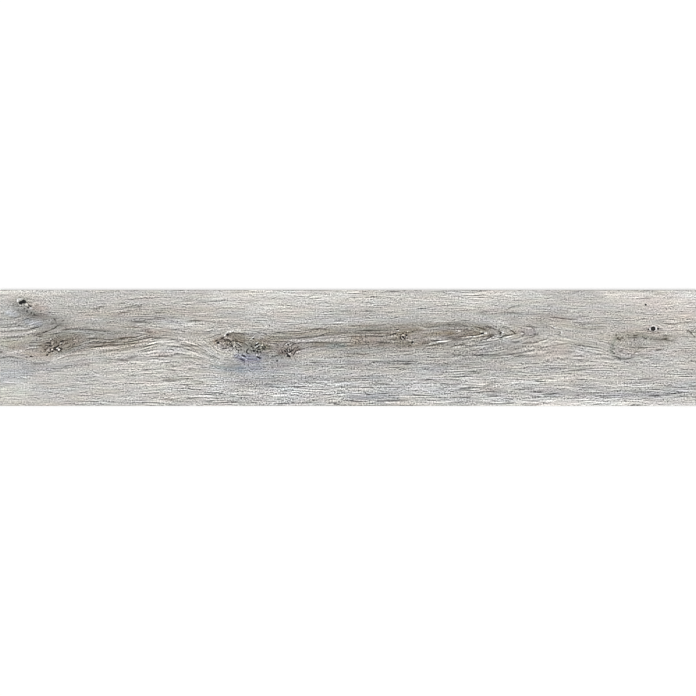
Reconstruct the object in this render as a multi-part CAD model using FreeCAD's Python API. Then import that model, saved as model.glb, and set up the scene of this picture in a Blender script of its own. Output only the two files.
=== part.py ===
"""Wood look porcelain plank tile: one pressed, fired and edge-ground piece.

Millimetres. The tile lies face up: +X runs along the plank, +Y across it, +Z out of the face.
The origin is the middle of the back, on the plane that the tile beds on.
"""

import math
import os

import FreeCAD
import Part

# The plank as sold, measured over its ground edges and from the back to the face
LENGTH = 1200.0
WIDTH = 200.0
THICKNESS = 9.0

# Micro-bevel that is ground along the four edges of the face
BEVEL = 0.6

# Pressed key on the back: a lattice of ribs inside a plain rim, with sloping flanks that let the punch go
RIM_WIDTH = 14.0
RIB_WIDTH = 3.0
KEY_PITCH = 25.0
KEY_DEPTH = 0.7
KEY_FLANK_DEG = 45.0


def rectangle(size_x, size_y, z):
    """A closed rectangular wire at height z, centred on the Z axis."""
    corners = [(-1, -1), (1, -1), (1, 1), (-1, 1), (-1, -1)]
    points = [FreeCAD.Vector(sx * size_x / 2, sy * size_y / 2, z) for sx, sy in corners]
    return Part.makePolygon(points)


def slab():
    """The whole plank, back at z = 0, with the micro-bevel round its face."""
    block = Part.makeBox(LENGTH, WIDTH, THICKNESS, FreeCAD.Vector(-LENGTH / 2, -WIDTH / 2, 0))
    face = max(block.Faces, key=lambda side: side.CenterOfMass.z)
    return block.makeChamfer(BEVEL, face.Edges)


def cells_along(side):
    """How many key cells fit between the rims along a side, and their pitch: a rib lies between each two."""
    run = side - 2 * RIM_WIDTH + RIB_WIDTH
    count = max(1, round(run / KEY_PITCH))
    return count, run / count


def key_cells():
    """Every shallow cell that the punch leaves between the ribs of the back, mouth down at z = 0."""
    count_x, pitch_x = cells_along(LENGTH)
    count_y, pitch_y = cells_along(WIDTH)
    mouth_x = pitch_x - RIB_WIDTH
    mouth_y = pitch_y - RIB_WIDTH
    slope = 2 * KEY_DEPTH * math.tan(math.radians(KEY_FLANK_DEG))
    mouth = rectangle(mouth_x, mouth_y, 0)
    floor = rectangle(mouth_x - slope, mouth_y - slope, KEY_DEPTH)
    cell = Part.makeLoft([mouth, floor], True, True)
    cells = []
    for column in range(count_x):
        for row in range(count_y):
            x = (column - (count_x - 1) / 2) * pitch_x
            y = (row - (count_y - 1) / 2) * pitch_y
            cells.append(cell.translated(FreeCAD.Vector(x, y, 0)))
    return cells


def plank_tile():
    """The plank with its keyed back, as one solid."""
    (tile,) = slab().cut(key_cells()).Solids
    return tile


os.makedirs("parts", exist_ok=True)
tile = plank_tile()
tile.exportStep("parts/plank_tile.step")
print(f"plank_tile: {len(tile.Faces)} faces, {tile.Volume / 1000:.1f} cm3, valid {tile.isValid()}")
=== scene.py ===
"""Looks of a wood look porcelain plank tile: relief face, printed glaze, ground edges and keyed back.

The frame is in metres. The face is laid out in millimetres from its middle: x runs along the plank,
y across it and z out of the face. Colours of the print are display levels, from 0 for black to 1 for white.
"""

import math

import bpy
import numpy as np
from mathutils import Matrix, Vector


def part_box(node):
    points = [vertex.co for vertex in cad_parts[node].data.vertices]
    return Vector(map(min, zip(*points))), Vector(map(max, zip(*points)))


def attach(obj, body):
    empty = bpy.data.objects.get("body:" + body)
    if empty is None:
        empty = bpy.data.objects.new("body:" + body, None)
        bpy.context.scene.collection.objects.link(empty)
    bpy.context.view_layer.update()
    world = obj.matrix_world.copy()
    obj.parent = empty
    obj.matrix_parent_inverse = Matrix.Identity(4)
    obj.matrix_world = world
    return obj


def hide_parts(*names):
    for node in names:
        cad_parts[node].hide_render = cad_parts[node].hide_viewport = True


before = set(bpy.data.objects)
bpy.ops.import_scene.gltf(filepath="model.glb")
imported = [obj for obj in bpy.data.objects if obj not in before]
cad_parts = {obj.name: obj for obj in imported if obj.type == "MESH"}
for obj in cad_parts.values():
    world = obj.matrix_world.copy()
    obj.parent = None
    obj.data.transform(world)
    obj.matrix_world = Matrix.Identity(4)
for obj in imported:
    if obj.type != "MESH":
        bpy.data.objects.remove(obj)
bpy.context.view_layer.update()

# The tile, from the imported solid
MM = 0.001
NODE = "plank_tile"
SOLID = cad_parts[NODE].data
LOW, HIGH = (np.array(corner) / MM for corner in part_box(NODE))
LENGTH, WIDTH, THICKNESS = HIGH - LOW
BELOW_FACE = 0.1
WALL_TOP = max(v.co.z / MM for v in SOLID.vertices if v.co.z / MM < HIGH[2] - BELOW_FACE)
BEVEL = HIGH[2] - WALL_TOP
HALF_X = LENGTH / 2 - BEVEL
HALF_Y = WIDTH / 2 - BEVEL

# Grid of the relief face: (start, end, step) where its lines stand close, and the step elsewhere
CLOSE_COLUMNS = [
    (-576, -538, 1.25),
    (-524, -486, 1.1),
    (-234, -140, 0.95),
    (-140, -116, 2.4),
    (-116, -84, 0.95),
    (76, 114, 1.25),
    (128, 200, 3.2),
    (222, 370, 1.9),
    (446, 508, 2.4),
    (508, 540, 1.25),
    (578, HALF_X, 1.5),
]
CLOSE_ROWS = [(-20, 36, 0.8)]
WIDE_COLUMN = 7.6
WIDE_ROW = 1.2

# Mesh: strips of the bake map, which end on lines of the grid, walls, and digits that meeting corners share
STRIPS = 4
WALLS = 4
WELD_DIGITS = 4

# Relief pressed into the face, in millimetres, and how many line depths lines and spots go at most
FURROW_DEPTH = 0.16
LINE_DEPTH = 0.14
SPOT_DEPTH = 0.25
INCISED_MOST = 2

# Noises along the grain: (strength, length, width, seed), and the means that two of them go about
WAVES = [(1.5, 110, 30, 1), (0.5, 34, 11, 2)]
BAND_RAGS = [(0.35, 26, 4, 3), (0.2, 11, 2, 4)]
LINE_BREAKS = [(0.35, 9, 5, 5)]
LINE_MEAN = 0.85
FURROWS = [(0.75, 45, 2.6, 6), (0.45, 20, 2.0, 7)]
FURROW_MEAN = 0.15

# Ground colour of the print, and the range that its bands and lines are held to
GROUND = (0.752, 0.743, 0.727)
PRINT_RANGE = (0.04, 0.96)

# Paths of the print: how far they reach, in half widths, and how crisp their edges are, from 1 for soft
PATH_REACH = 2.6
BAND_EDGE = 1
LINE_EDGE = 2

# Ends of a line: their share of its width, and the share of its length over which it thins to that
LINE_TIP = 0.6
LINE_TAPER = 0.25

# How deep a dark line is pressed in, in line depths for a whole step of tone
LINE_PRESS = 2

# Heart of the wood, which the grain runs round on both sides: (x, y, how far the grain stands off it)
HEART = [
    (-640, 6, 4),
    (-600, 8, 10),
    (-550, 6, 16),
    (-500, 5, 20),
    (-450, 13, 15),
    (-400, 18, 10),
    (-360, 22, 4),
    (-325, 24, -4),
    (-285, 20, -7),
    (-245, 12, -2),
    (-225, 8, 8),
    (-200, 8, 13),
    (-150, 4, 14),
    (-100, 2, 13),
    (-50, 10, 14),
    (0, 14, 16),
    (95, 19, 17),
    (150, 25, 14),
    (200, 26, 10),
    (230, 26, 6),
    (264, 26.5, 1),
    (288, 26.5, -3),
    (304, 27, -6),
    (323, 28, -8),
    (345, 28, -9),
    (365, 26, -10),
    (400, 19.5, -8),
    (440, 16, -4),
    (460, 12, -1),
    (486, 11, 1),
    (510, 12, 0),
    (535, 13, -1),
    (600, 13, -2),
    (640, 13, -2),
]
HEART_LEVEL = 14.0
HEART_REACH = 27.0
HEART_PULL = 36.0
HEART_ROUNDING = 0.6
HEART_FADE = 2.5

# Where the grain opens round something: (x, y, reach along, reach across, share of the spacing taken out)
EYES = [
    (-562, 80, 24, 12, 0.6),
    (-577, 60, 17, 11, 0.5),
    (-540, 44, 28, 12, 0.5),
    (-507, 2, 30, 15, 0.4),
    (-205, 7, 28, 13, 0.4),
    (-157, 0, 16, 12, 0.4),
    (-102, 0, 18, 14, 0.5),
    (28, 12, 24, 10, 0.4),
    (95, 19, 12, 8, 0.6),
    (482, 0, 30, 16, 0.25),
    (526, 33.5, 12, 8, 0.7),
    (513, 74.5, 7, 5, 0.5),
]

# Where the grain swings up or down: (x, y, reach along, reach across, rise)
BENDS = [
    (-565, 36, 40, 18, -5),
    (-488, 44, 40, 16, 4),
    (-465, 26, 70, 18, 8),
    (-535, -26, 60, 26, -5),
    (-278, 8, 80, 18, 4),
    (-195, -24, 50, 24, -8),
    (-170, 36, 90, 18, 4),
    (80, -14, 200, 30, -3),
    (260, 42, 110, 16, 5),
    (385, 4, 110, 20, 4),
    (480, -26, 50, 16, -3),
]

# Broad tones of the print: change of red, green and blue, or of all, then paths of (x, y, half width)
BANDS = [
    # Broad drifts of light and dark
    ((0.09, 0.09, 0.08), [(-600, 101, 9), (-480, 103, 8)]),
    ((0.065, 0.065, 0.06), [(-225, 88, 15), (-130, 84, 20), (10, 92, 14)]),
    ((0.03, 0.03, 0.025), [(30, 86, 12), (170, 84, 13), (330, 84, 11)]),
    ((0.075, 0.07, 0.065), [(450, 92, 10), (530, 86, 16), (600, 80, 20)]),
    (0.05, [(140, -97, 5), (170, -97, 5)]),
    (0.13, [(275, -102, 6), (330, -98, 9), (450, -99, 9), (600, -100, 10)]),
    ((0.035, 0.035, 0.03), [(-430, -54, 11), (-340, -46, 14), (-235, -62, 10)]),
    ((0.045, 0.045, 0.035), [(-600, -72, 14), (-545, -64, 10)]),
    (0.045, [(-165, -78, 6), (-80, -76, 7), (20, -68, 6)]),
    (-0.08, [(-600, 42, 24), (-545, 40, 30), (-480, 44, 20), (-410, 46, 14)]),
    (-0.04, [(-410, 52, 12), (-340, 54, 12), (-270, 60, 8), (-180, 58, 6)]),
    (-0.055, [(-90, 6, 34), (60, 2, 46), (200, 4, 46), (300, 4, 34)]),
    (-0.025, [(320, 8, 34), (420, 14, 30), (540, 10, 26)]),
    # Corner knot and the swirls under it
    (-0.11, [(-572, 72, 8), (-548, 58, 9), (-515, 48, 9), (-488, 36, 9)]),
    (-0.08, [(-570, 80, 9), (-555, 80, 9)]),
    ((0.02, 0.035, 0.055), [(-588, 60, 4.5), (-574, 56, 4.5)]),
    ((-0.01, 0.008, 0.038), [(-553, 46, 6), (-533, 43, 6)]),
    ((0.025, 0.006, -0.004), [(-550, 74, 4), (-525, 66, 8)]),
    # Left lens
    ((-0.13, -0.145, -0.16),
     [(-528, 4, 10), (-508, 6, 13), (-478, 10, 13), (-440, 13, 10), (-400, 15, 7), (-370, 18, 5)]),
    ((-0.06, -0.063, -0.066), [(-524, 0, 8), (-508, 8, 10), (-486, 11, 8)]),
    ((-0.08, -0.08, -0.085), [(-530, 24, 9), (-505, 20, 9), (-455, 25, 9), (-405, 26, 7), (-365, 27, 5)]),
    ((-0.08, -0.085, -0.09), [(-355, 22, 6), (-325, 25, 7), (-295, 23, 7), (-240, 24, 6)]),
    ((-0.1, -0.105, -0.11), [(-520, -6, 8), (-480, -4, 8), (-440, 2, 6)]),
    (-0.05, [(-430, 4, 5), (-390, 5, 5), (-340, 10, 5)]),
    ((-0.03, -0.05, -0.062), [(-580, -2, 8), (-545, -8, 9), (-515, -13, 7)]),
    ((-0.04, -0.045, -0.068), [(-600, 10, 8), (-550, 12, 8)]),
    ((-0.065, -0.062, -0.052),
     [(-600, -18, 6), (-565, -20, 8), (-548, -32, 9), (-500, -33, 6), (-450, -25, 6)]),
    ((0, 0.003, -0.01), [(-598, -80, 14), (-555, -80, 12)]),
    ((0, -0.014, -0.02), [(-345, 28, 6), (-310, 32, 6)]),
    # Plain grain between the left lens and the middle knots
    (-0.05, [(-395, 47, 7), (-365, 48, 8), (-335, 47, 6)]),
    ((0.05, 0.05, 0.045), [(-310, 37, 5), (-270, 37, 6), (-240, 38, 5)]),
    ((0.03, 0.03, 0.02), [(-225, -8, 5), (-195, -10, 4)]),
    (-0.03, [(-410, -22, 5), (-372, -18, 5)]),
    (-0.04, [(-305, -55, 5), (-250, -56, 4)]),
    # Middle knots and what runs out of them
    ((-0.22, -0.24, -0.27), [(-228, 11, 6), (-208, 12, 10), (-186, 14, 10)]),
    ((-0.13, -0.136, -0.142), [(-206, 20, 5), (-175, 17, 8), (-145, 12, 9), (-110, 9, 7)]),
    ((-0.172, -0.174, -0.192), [(-180, 1, 10), (-158, 1, 12), (-140, 0, 10)]),
    ((-0.147, -0.138, -0.078), [(-192, -15, 6), (-174, -19, 9), (-155, -20, 7)]),
    ((-0.09, -0.07, -0.06), [(-232, -28, 7), (-208, -34, 9), (-185, -35, 8)]),
    ((-0.108, -0.102, -0.092), [(-150, -14, 9), (-115, -14, 9)]),
    ((-0.16, -0.18, -0.19), [(-116, -6, 7), (-102, -6, 11), (-88, -4, 7)]),
    ((-0.075, -0.075, -0.065), [(-205, -36, 10), (-180, -37, 11), (-140, -32, 11), (-105, -32, 8)]),
    ((-0.085, -0.085, -0.08), [(-180, -56, 10), (-130, -56, 9), (-60, -54, 4), (60, -52, 5)]),
    (-0.05, [(-95, -29, 4), (-40, -29, 4), (20, -27, 4)]),
    ((-0.045, -0.04, -0.025), [(-185, -36, 8), (-150, -34, 9)]),
    # Heartwood
    ((-0.1, -0.106, -0.117), [(-140, 18, 6), (-80, 24, 7), (-20, 29, 8), (50, 33, 8), (110, 35, 8),
     (150, 39, 6), (190, 39, 6), (240, 37, 6)]),
    ((-0.12, -0.13, -0.14),
     [(-88, 5, 7), (-30, 5, 7), (40, 7, 9), (100, 7, 9), (150, 13, 8), (190, 17, 6), (245, 21, 5)]),
    ((-0.07, -0.08, -0.09), [(10, 17, 10), (85, 22, 11), (118, 22, 9)]),
    ((-0.08, -0.09, -0.1), [(84, 20, 7), (104, 21, 7)]),
    ((-0.09, -0.098, -0.112), [(126, 20, 5), (160, 27.5, 8), (190, 26, 8), (230, 26, 5)]),
    ((0.01, 0, -0.012), [(122, 25, 6), (175, 26, 6)]),
    ((-0.048, -0.052, -0.06), [(225, 32, 8), (262, 28, 7), (292, 27, 5)]),
    ((0, -0.012, -0.015), [(12, 16, 5), (42, 14, 6)]),
    ((-0.06, -0.02, -0.01), [(-32, 3, 5), (-8, 4, 6)]),
    ((-0.03, -0.036, -0.045), [(150, 4, 8), (220, 4, 10)]),
    (-0.05, [(235, 5, 9), (290, 2, 9)]),
    (-0.085, [(165, -14, 5), (215, -13, 6), (265, -12, 6), (305, -9, 5)]),
    ((-0.06, -0.06, -0.055), [(0, -27, 6), (70, -26, 6), (140, -31, 7), (170, -36, 6)]),
    (-0.03, [(160, -34, 12), (280, -36, 10)]),
    # Past the heartwood's tip
    ((-0.05, -0.065, -0.05), [(296, 29, 6), (318, 28, 6)]),
    (-0.04, [(280, 60, 5), (230, 60, 4)], [(385, 3, 4), (430, 4, 4)]),
    (-0.05, [(318, 44, 8), (340, 50, 8), (372, 52, 6)]),
    ((-0.025, -0.014, -0.004), [(268, 14, 5), (295, 10, 6)]),
    (-0.06, [(400, 35, 5), (440, 34, 4)]),
    (-0.08, [(338, -36, 5), (410, -37, 5)]),
    # Ear on the right and the end of the plank
    ((-0.115, -0.11, -0.115), [(464, 18, 6), (500, 20, 7), (530, 16, 5), (562, 14, 5)]),
    ((-0.09, -0.07, -0.075), [(460, 14, 3), (456, 5, 4), (454, -3, 5), (455, -11, 4)]),
    ((-0.06, -0.06, -0.058), [(466, 0, 9), (500, 0, 10)]),
    (-0.05, [(458, -14, 3), (475, -18, 3), (496, -15, 3)]),
    (-0.06, [(512, 31, 6), (540, 31, 6)]),
    ((-0.02, -0.01, -0.01), [(582, 34, 7), (600, 28, 9)]),
    ((0.012, -0.002, -0.003), [(500, 80, 14), (590, 60, 16)]),
    # Darker patches
    (-0.05, [(-565, 66, 7), (-540, 64, 8), (-520, 60, 6)], [(-530, 33, 5), (-512, 34, 5)],
     [(-560, -15, 5), (-530, -16, 5)], [(-435, 24, 4), (-400, 28, 5), (-380, 28, 4)],
     [(-235, 27, 4), (-215, 29, 4)], [(-190, -17, 5), (-175, -18, 5)],
     [(285, 48, 7), (310, 56, 7), (375, 62, 5)], [(405, 35, 4), (440, 36, 4)],
     [(505, -14, 4), (520, -13, 4)], [(575, 22, 6), (600, 24, 6)],
     [(490, -95, 5), (540, -93, 6), (580, -94, 5)]),
    (-0.06, [(-600, -3, 7), (-575, 0, 6), (-545, 5, 6)], [(-165, 26, 5), (-120, 27, 5), (-85, 27, 4)],
     [(25, -100, 3), (85, -100, 3)]),
    (-0.07, [(-500, -5, 5), (-480, -3, 6), (-460, -1, 4)], [(-390, 3, 5), (-365, 4, 6), (-345, 7, 4)],
     [(0, -10, 7), (25, -8, 7)], [(580, -6, 6), (600, -8, 7)], [(380, 100, 3), (425, 100, 3)]),
    (-0.03, [(-360, 52, 9), (-300, 52, 8)], [(-470, 70, 6), (-400, 68, 6), (-300, 66, 7), (-265, 62, 6)],
     [(-165, 3, 6), (-152, 1, 7), (-135, 0, 6)], [(-600, -45, 8), (-545, -42, 8)],
     [(0, 60, 9), (60, 52, 8), (110, 44, 8), (240, 40, 5)], [(250, -74, 4), (290, -78, 5), (330, -84, 4)]),
    (-0.08, [(-215, 3, 4), (-200, 3, 4)]),
    (-0.045, [(-265, -14, 4), (-245, -18, 4), (-220, -10, 5)]),
    (-0.04, [(-130, -27, 5), (-105, -27, 5)], [(-185, -66, 5), (-160, -66, 6), (-130, -67, 5)],
     [(118, 24, 5), (145, 25, 5)], [(395, 4, 4), (420, 6, 5)], [(440, 48, 8), (485, 46, 8)],
     [(470, 10, 5), (510, 8, 5)], [(580, -40, 5), (600, -42, 5)],
     [(30, -84, 5), (60, -79, 6), (85, -80, 5)], [(405, -67, 4), (425, -68, 4)]),
    (-0.025, [(-490, -52, 5), (-400, -50, 6), (-290, -50, 7)]),
    (-0.035, [(-245, -94, 6), (-200, -92, 5)], [(60, 3, 7), (95, 6, 7)]),
    # Lighter patches
    (0.035, [(-470, 48, 7), (-440, 52, 6), (-400, 50, 5)], [(-600, 32, 5), (-575, 34, 5)]),
    (0.05, [(-600, 98, 6), (-560, 96, 6)], [(30, 18, 5), (55, 13, 5)], [(205, 74, 6), (240, 76, 7)],
     [(95, -64, 6), (125, -67, 7), (190, -66, 5)], [(585, 92, 7), (600, 85, 9)]),
    (0.06, [(-170, 100, 4), (-110, 98, 5), (-70, 100, 4)], [(180, 97, 5), (250, 94, 7), (330, 97, 5)],
     [(318, 9, 4), (350, 8, 5), (378, 9, 4)], [(152, -36, 4), (180, -37, 5)],
     [(285, -62, 4), (340, -54, 6), (385, -51, 4)]),
    (0.03, [(-165, 66, 7), (-130, 68, 7)], [(-420, -34, 5), (-360, -26, 7), (-300, -20, 4)],
     [(-370, -64, 6), (-350, -70, 7), (-310, -64, 5)], [(-250, -76, 6), (-215, -68, 6)],
     [(-590, -85, 7), (-555, -86, 6)], [(-175, -46, 6), (-150, -42, 6)], [(-70, -20, 5), (-30, -19, 4)]),
    (0.04, [(-410, -88, 5), (-365, -86, 5)], [(340, -37, 4), (372, -37, 4)]),
    (0.045, [(265, -13, 4), (290, -8, 5), (315, -4, 5)], [(258, -28, 4), (290, -29, 4)],
     [(195, -54, 5), (235, -60, 6), (285, -62, 5)], [(235, -92, 6), (265, -92, 6)],
     [(410, -87, 4), (440, -85, 4), (465, -85, 4)], [(570, -74, 4), (600, -73, 5)]),
    (0.055, [(530, 37, 4), (560, 38, 5), (580, 36, 4)]),
    # Broad drifts of colour
    ((-0.01, -0.002, 0.01), [(-220, -70, 24), (-100, -66, 26), (60, -70, 26), (150, -66, 24)]),
    ((-0.007, -0.001, 0.008), [(200, -80, 18), (420, -80, 18), (600, -76, 22)]),
    ((-0.013, -0.004, 0.012), [(-600, -48, 18), (-560, -48, 18)]),
    ((-0.01, 0, 0.01), [(-185, -40, 12), (-150, -44, 14)]),
    ((0.008, 0.001, -0.008), [(290, 22, 16), (440, 24, 18), (600, 26, 18)]),
    ((0.006, 0, -0.009), [(-430, 2, 12), (-300, 6, 14), (-235, 8, 12)]),
    ((-0.006, 0, 0.006), [(30, 12, 10), (100, 12, 10)]),
    ((0.008, 0, -0.008), [(-450, 60, 14), (-370, 58, 14), (-240, 60, 12)]),
    ((0.015, 0, -0.016), [(480, 46, 13), (575, 44, 13)]),
    ((0.006, 0, -0.006), [(290, -12, 12), (400, -14, 14), (520, -12, 12)]),
    ((0.006, 0, -0.007), [(-450, -14, 12), (-350, -14, 12)]),
    ((0.007, 0.001, -0.009), [(340, -60, 12), (390, -60, 12)]),
    ((0.03, 0.03, 0.026), [(-385, 12, 8), (-345, 14, 8)]),
    (0.028, [(-110, 12, 7), (-40, 13, 8), (40, 13, 8), (70, 13, 7)], [(270, 12, 8), (320, 12, 8)]),
    (-0.035, [(335, 42, 7), (360, 42, 7), (385, 37, 8)]),
    (-0.025, [(-185, -86, 9), (-145, -87, 9)]),
    (0.025, [(-55, -61, 8), (-15, -61, 8)]),
    (-0.02, [(-380, 37, 8), (-290, 36, 9)]),
    (0.02, [(-320, -61, 9), (-280, -61, 9)]),
    # Lights and shades over the knots
    (0.05, [(-165, 1, 5), (-148, 1, 6), (-136, 6, 6)], [(-153, -19, 4), (-146, -19, 4)],
     [(-196, 10, 4), (-186, 10, 4)]),
    (0.06, [(-206, 10, 4), (-188, 10, 4)]),
    (-0.05, [(-222, 20, 4), (-216, 20, 4)], [(-167, 20, 4), (-160, 20, 4)], [(374, 0, 4), (388, 0, 4)],
     [(-196, 0, 4), (-186, 0, 4)]),
    (0.04, [(-95, 0, 4), (-88, -1, 4)], [(158, 36, 4), (180, 36, 4)], [(272, 30, 5), (290, 30, 4)],
     [(112, 10, 5), (120, 10, 5)], [(484, 15, 4), (496, 15, 4)], [(-96, 0, 4), (-76, 9, 4)],
     [(62, 20, 4), (66, 20, 4)], [(82, 20, 3), (87, 20, 3)]),
    (0.045, [(-492, 8, 5), (-488, -4, 5)], [(-545, 94, 6), (-500, 93, 6)], [(-496, 37, 5), (-484, 37, 5)],
     [(190, 20, 4), (240, 19, 4)], [(192, 40, 4), (208, 40, 4)], [(-140, 20, 5), (-132, 12, 5)]),
    (0.035, [(-526, -5, 5), (-520, -5, 5)], [(304, 35, 4), (320, 35, 4)], [(-444, 9, 5), (-434, 9, 5)],
     [(296, 24, 4), (304, 24, 4)], [(552, 45, 4), (564, 45, 4)]),
    (-0.055, [(-546, 23, 5), (-535, 23, 5)]),
    (-0.04, [(-510, 24, 5), (-503, 24, 5)], [(518, 4, 4), (538, 4, 4)], [(-166, 20, 4), (-158, 22, 4)],
     [(118, 1, 4), (130, 0, 4)], [(520, -4, 4), (530, -5, 4)], [(-140, -20, 4), (-128, -20, 4)],
     [(-80, 20, 4), (-40, 21, 4)]),
    ((-0.048, -0.05, -0.056), [(155, 28, 4), (180, 28, 4)]),
    (-0.03, [(228, 28, 4), (250, 28, 4)], [(240, 0, 5), (262, 0, 5)], [(334, 30, 5), (346, 30, 5)],
     [(520, 38, 3), (532, 39, 3)], [(-476, -20, 5), (-450, -20, 5)]),
    (-0.035, [(408, 12, 5), (432, 12, 5)], [(458, 35, 5), (470, 44, 5)], [(434, 5, 4), (443, 5, 4)],
     [(-113, 30, 4), (-100, 30, 4)], [(-180, 10, 4), (-174, 10, 4)], [(-152, 11, 4), (-146, 11, 4)]),
    (-0.045, [(334, 35, 6), (346, 34, 6)], [(-210, -20, 4), (-198, -20, 4)], [(272, 41, 4), (288, 40, 4)]),
    (0.055, [(62, 20, 4), (86, 20, 4)]),
    (-0.095, [(484, -25, 4), (496, -25, 4)]),
    (0.03, [(578, 26, 6), (600, 25, 7)], [(-562, 72, 6), (-553, 66, 6)], [(-508, 8, 6), (-490, 2, 6)]),
    ((-0.055, -0.05, -0.04), [(-180, -20, 5), (-163, -12, 5)]),
    ((-0.05, -0.05, -0.04), [(-182, -9, 5), (-146, -9, 6)]),
    (-0.06, [(-133, 0, 5), (-124, -2, 5)]),
    ((-0.012, -0.001, 0.012), [(-130, -40, 7), (-88, -40, 7)]),
    ((0.012, 0, -0.012), [(-330, -12, 10), (-265, -12, 10)]),
    ((-0.01, -0.003, 0.01), [(-600, -60, 11), (-540, -60, 11)]),
    ((-0.008, 0, 0.008), [(130, -37, 10), (250, -37, 10)], [(300, 24, 8), (322, 24, 8)]),
    ((-0.006, -0.001, 0.006), [(-245, -37, 9), (-220, -37, 9)]),
    ((-0.006, 0, 0.006), [(-120, -37, 9), (-80, -37, 9)]),
    ((0.01, 0, -0.01), [(350, 36, 9), (385, 40, 10), (430, 46, 8)]),
    ((0.008, 0, -0.008), [(370, 12, 12), (400, 14, 12)], [(-120, 36, 9), (-80, 36, 9)]),
    ((0.007, 0, -0.007), [(-250, 36, 9), (-215, 36, 9)], [(-185, 12, 8), (-145, 12, 8)],
     [(545, -12, 10), (590, -12, 10)]),
    # Dark stretches along the lower edge
    ((-0.075, -0.075, -0.07), [(330, -76, 5), (420, -80, 6), (510, -79, 7), (600, -73, 7)]),
    (-0.03, [(220, -72, 6), (330, -72, 5)]),
    ((-0.08, -0.075, -0.065), [(0, -86, 5), (50, -86, 6), (85, -87, 4)]),
]

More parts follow.
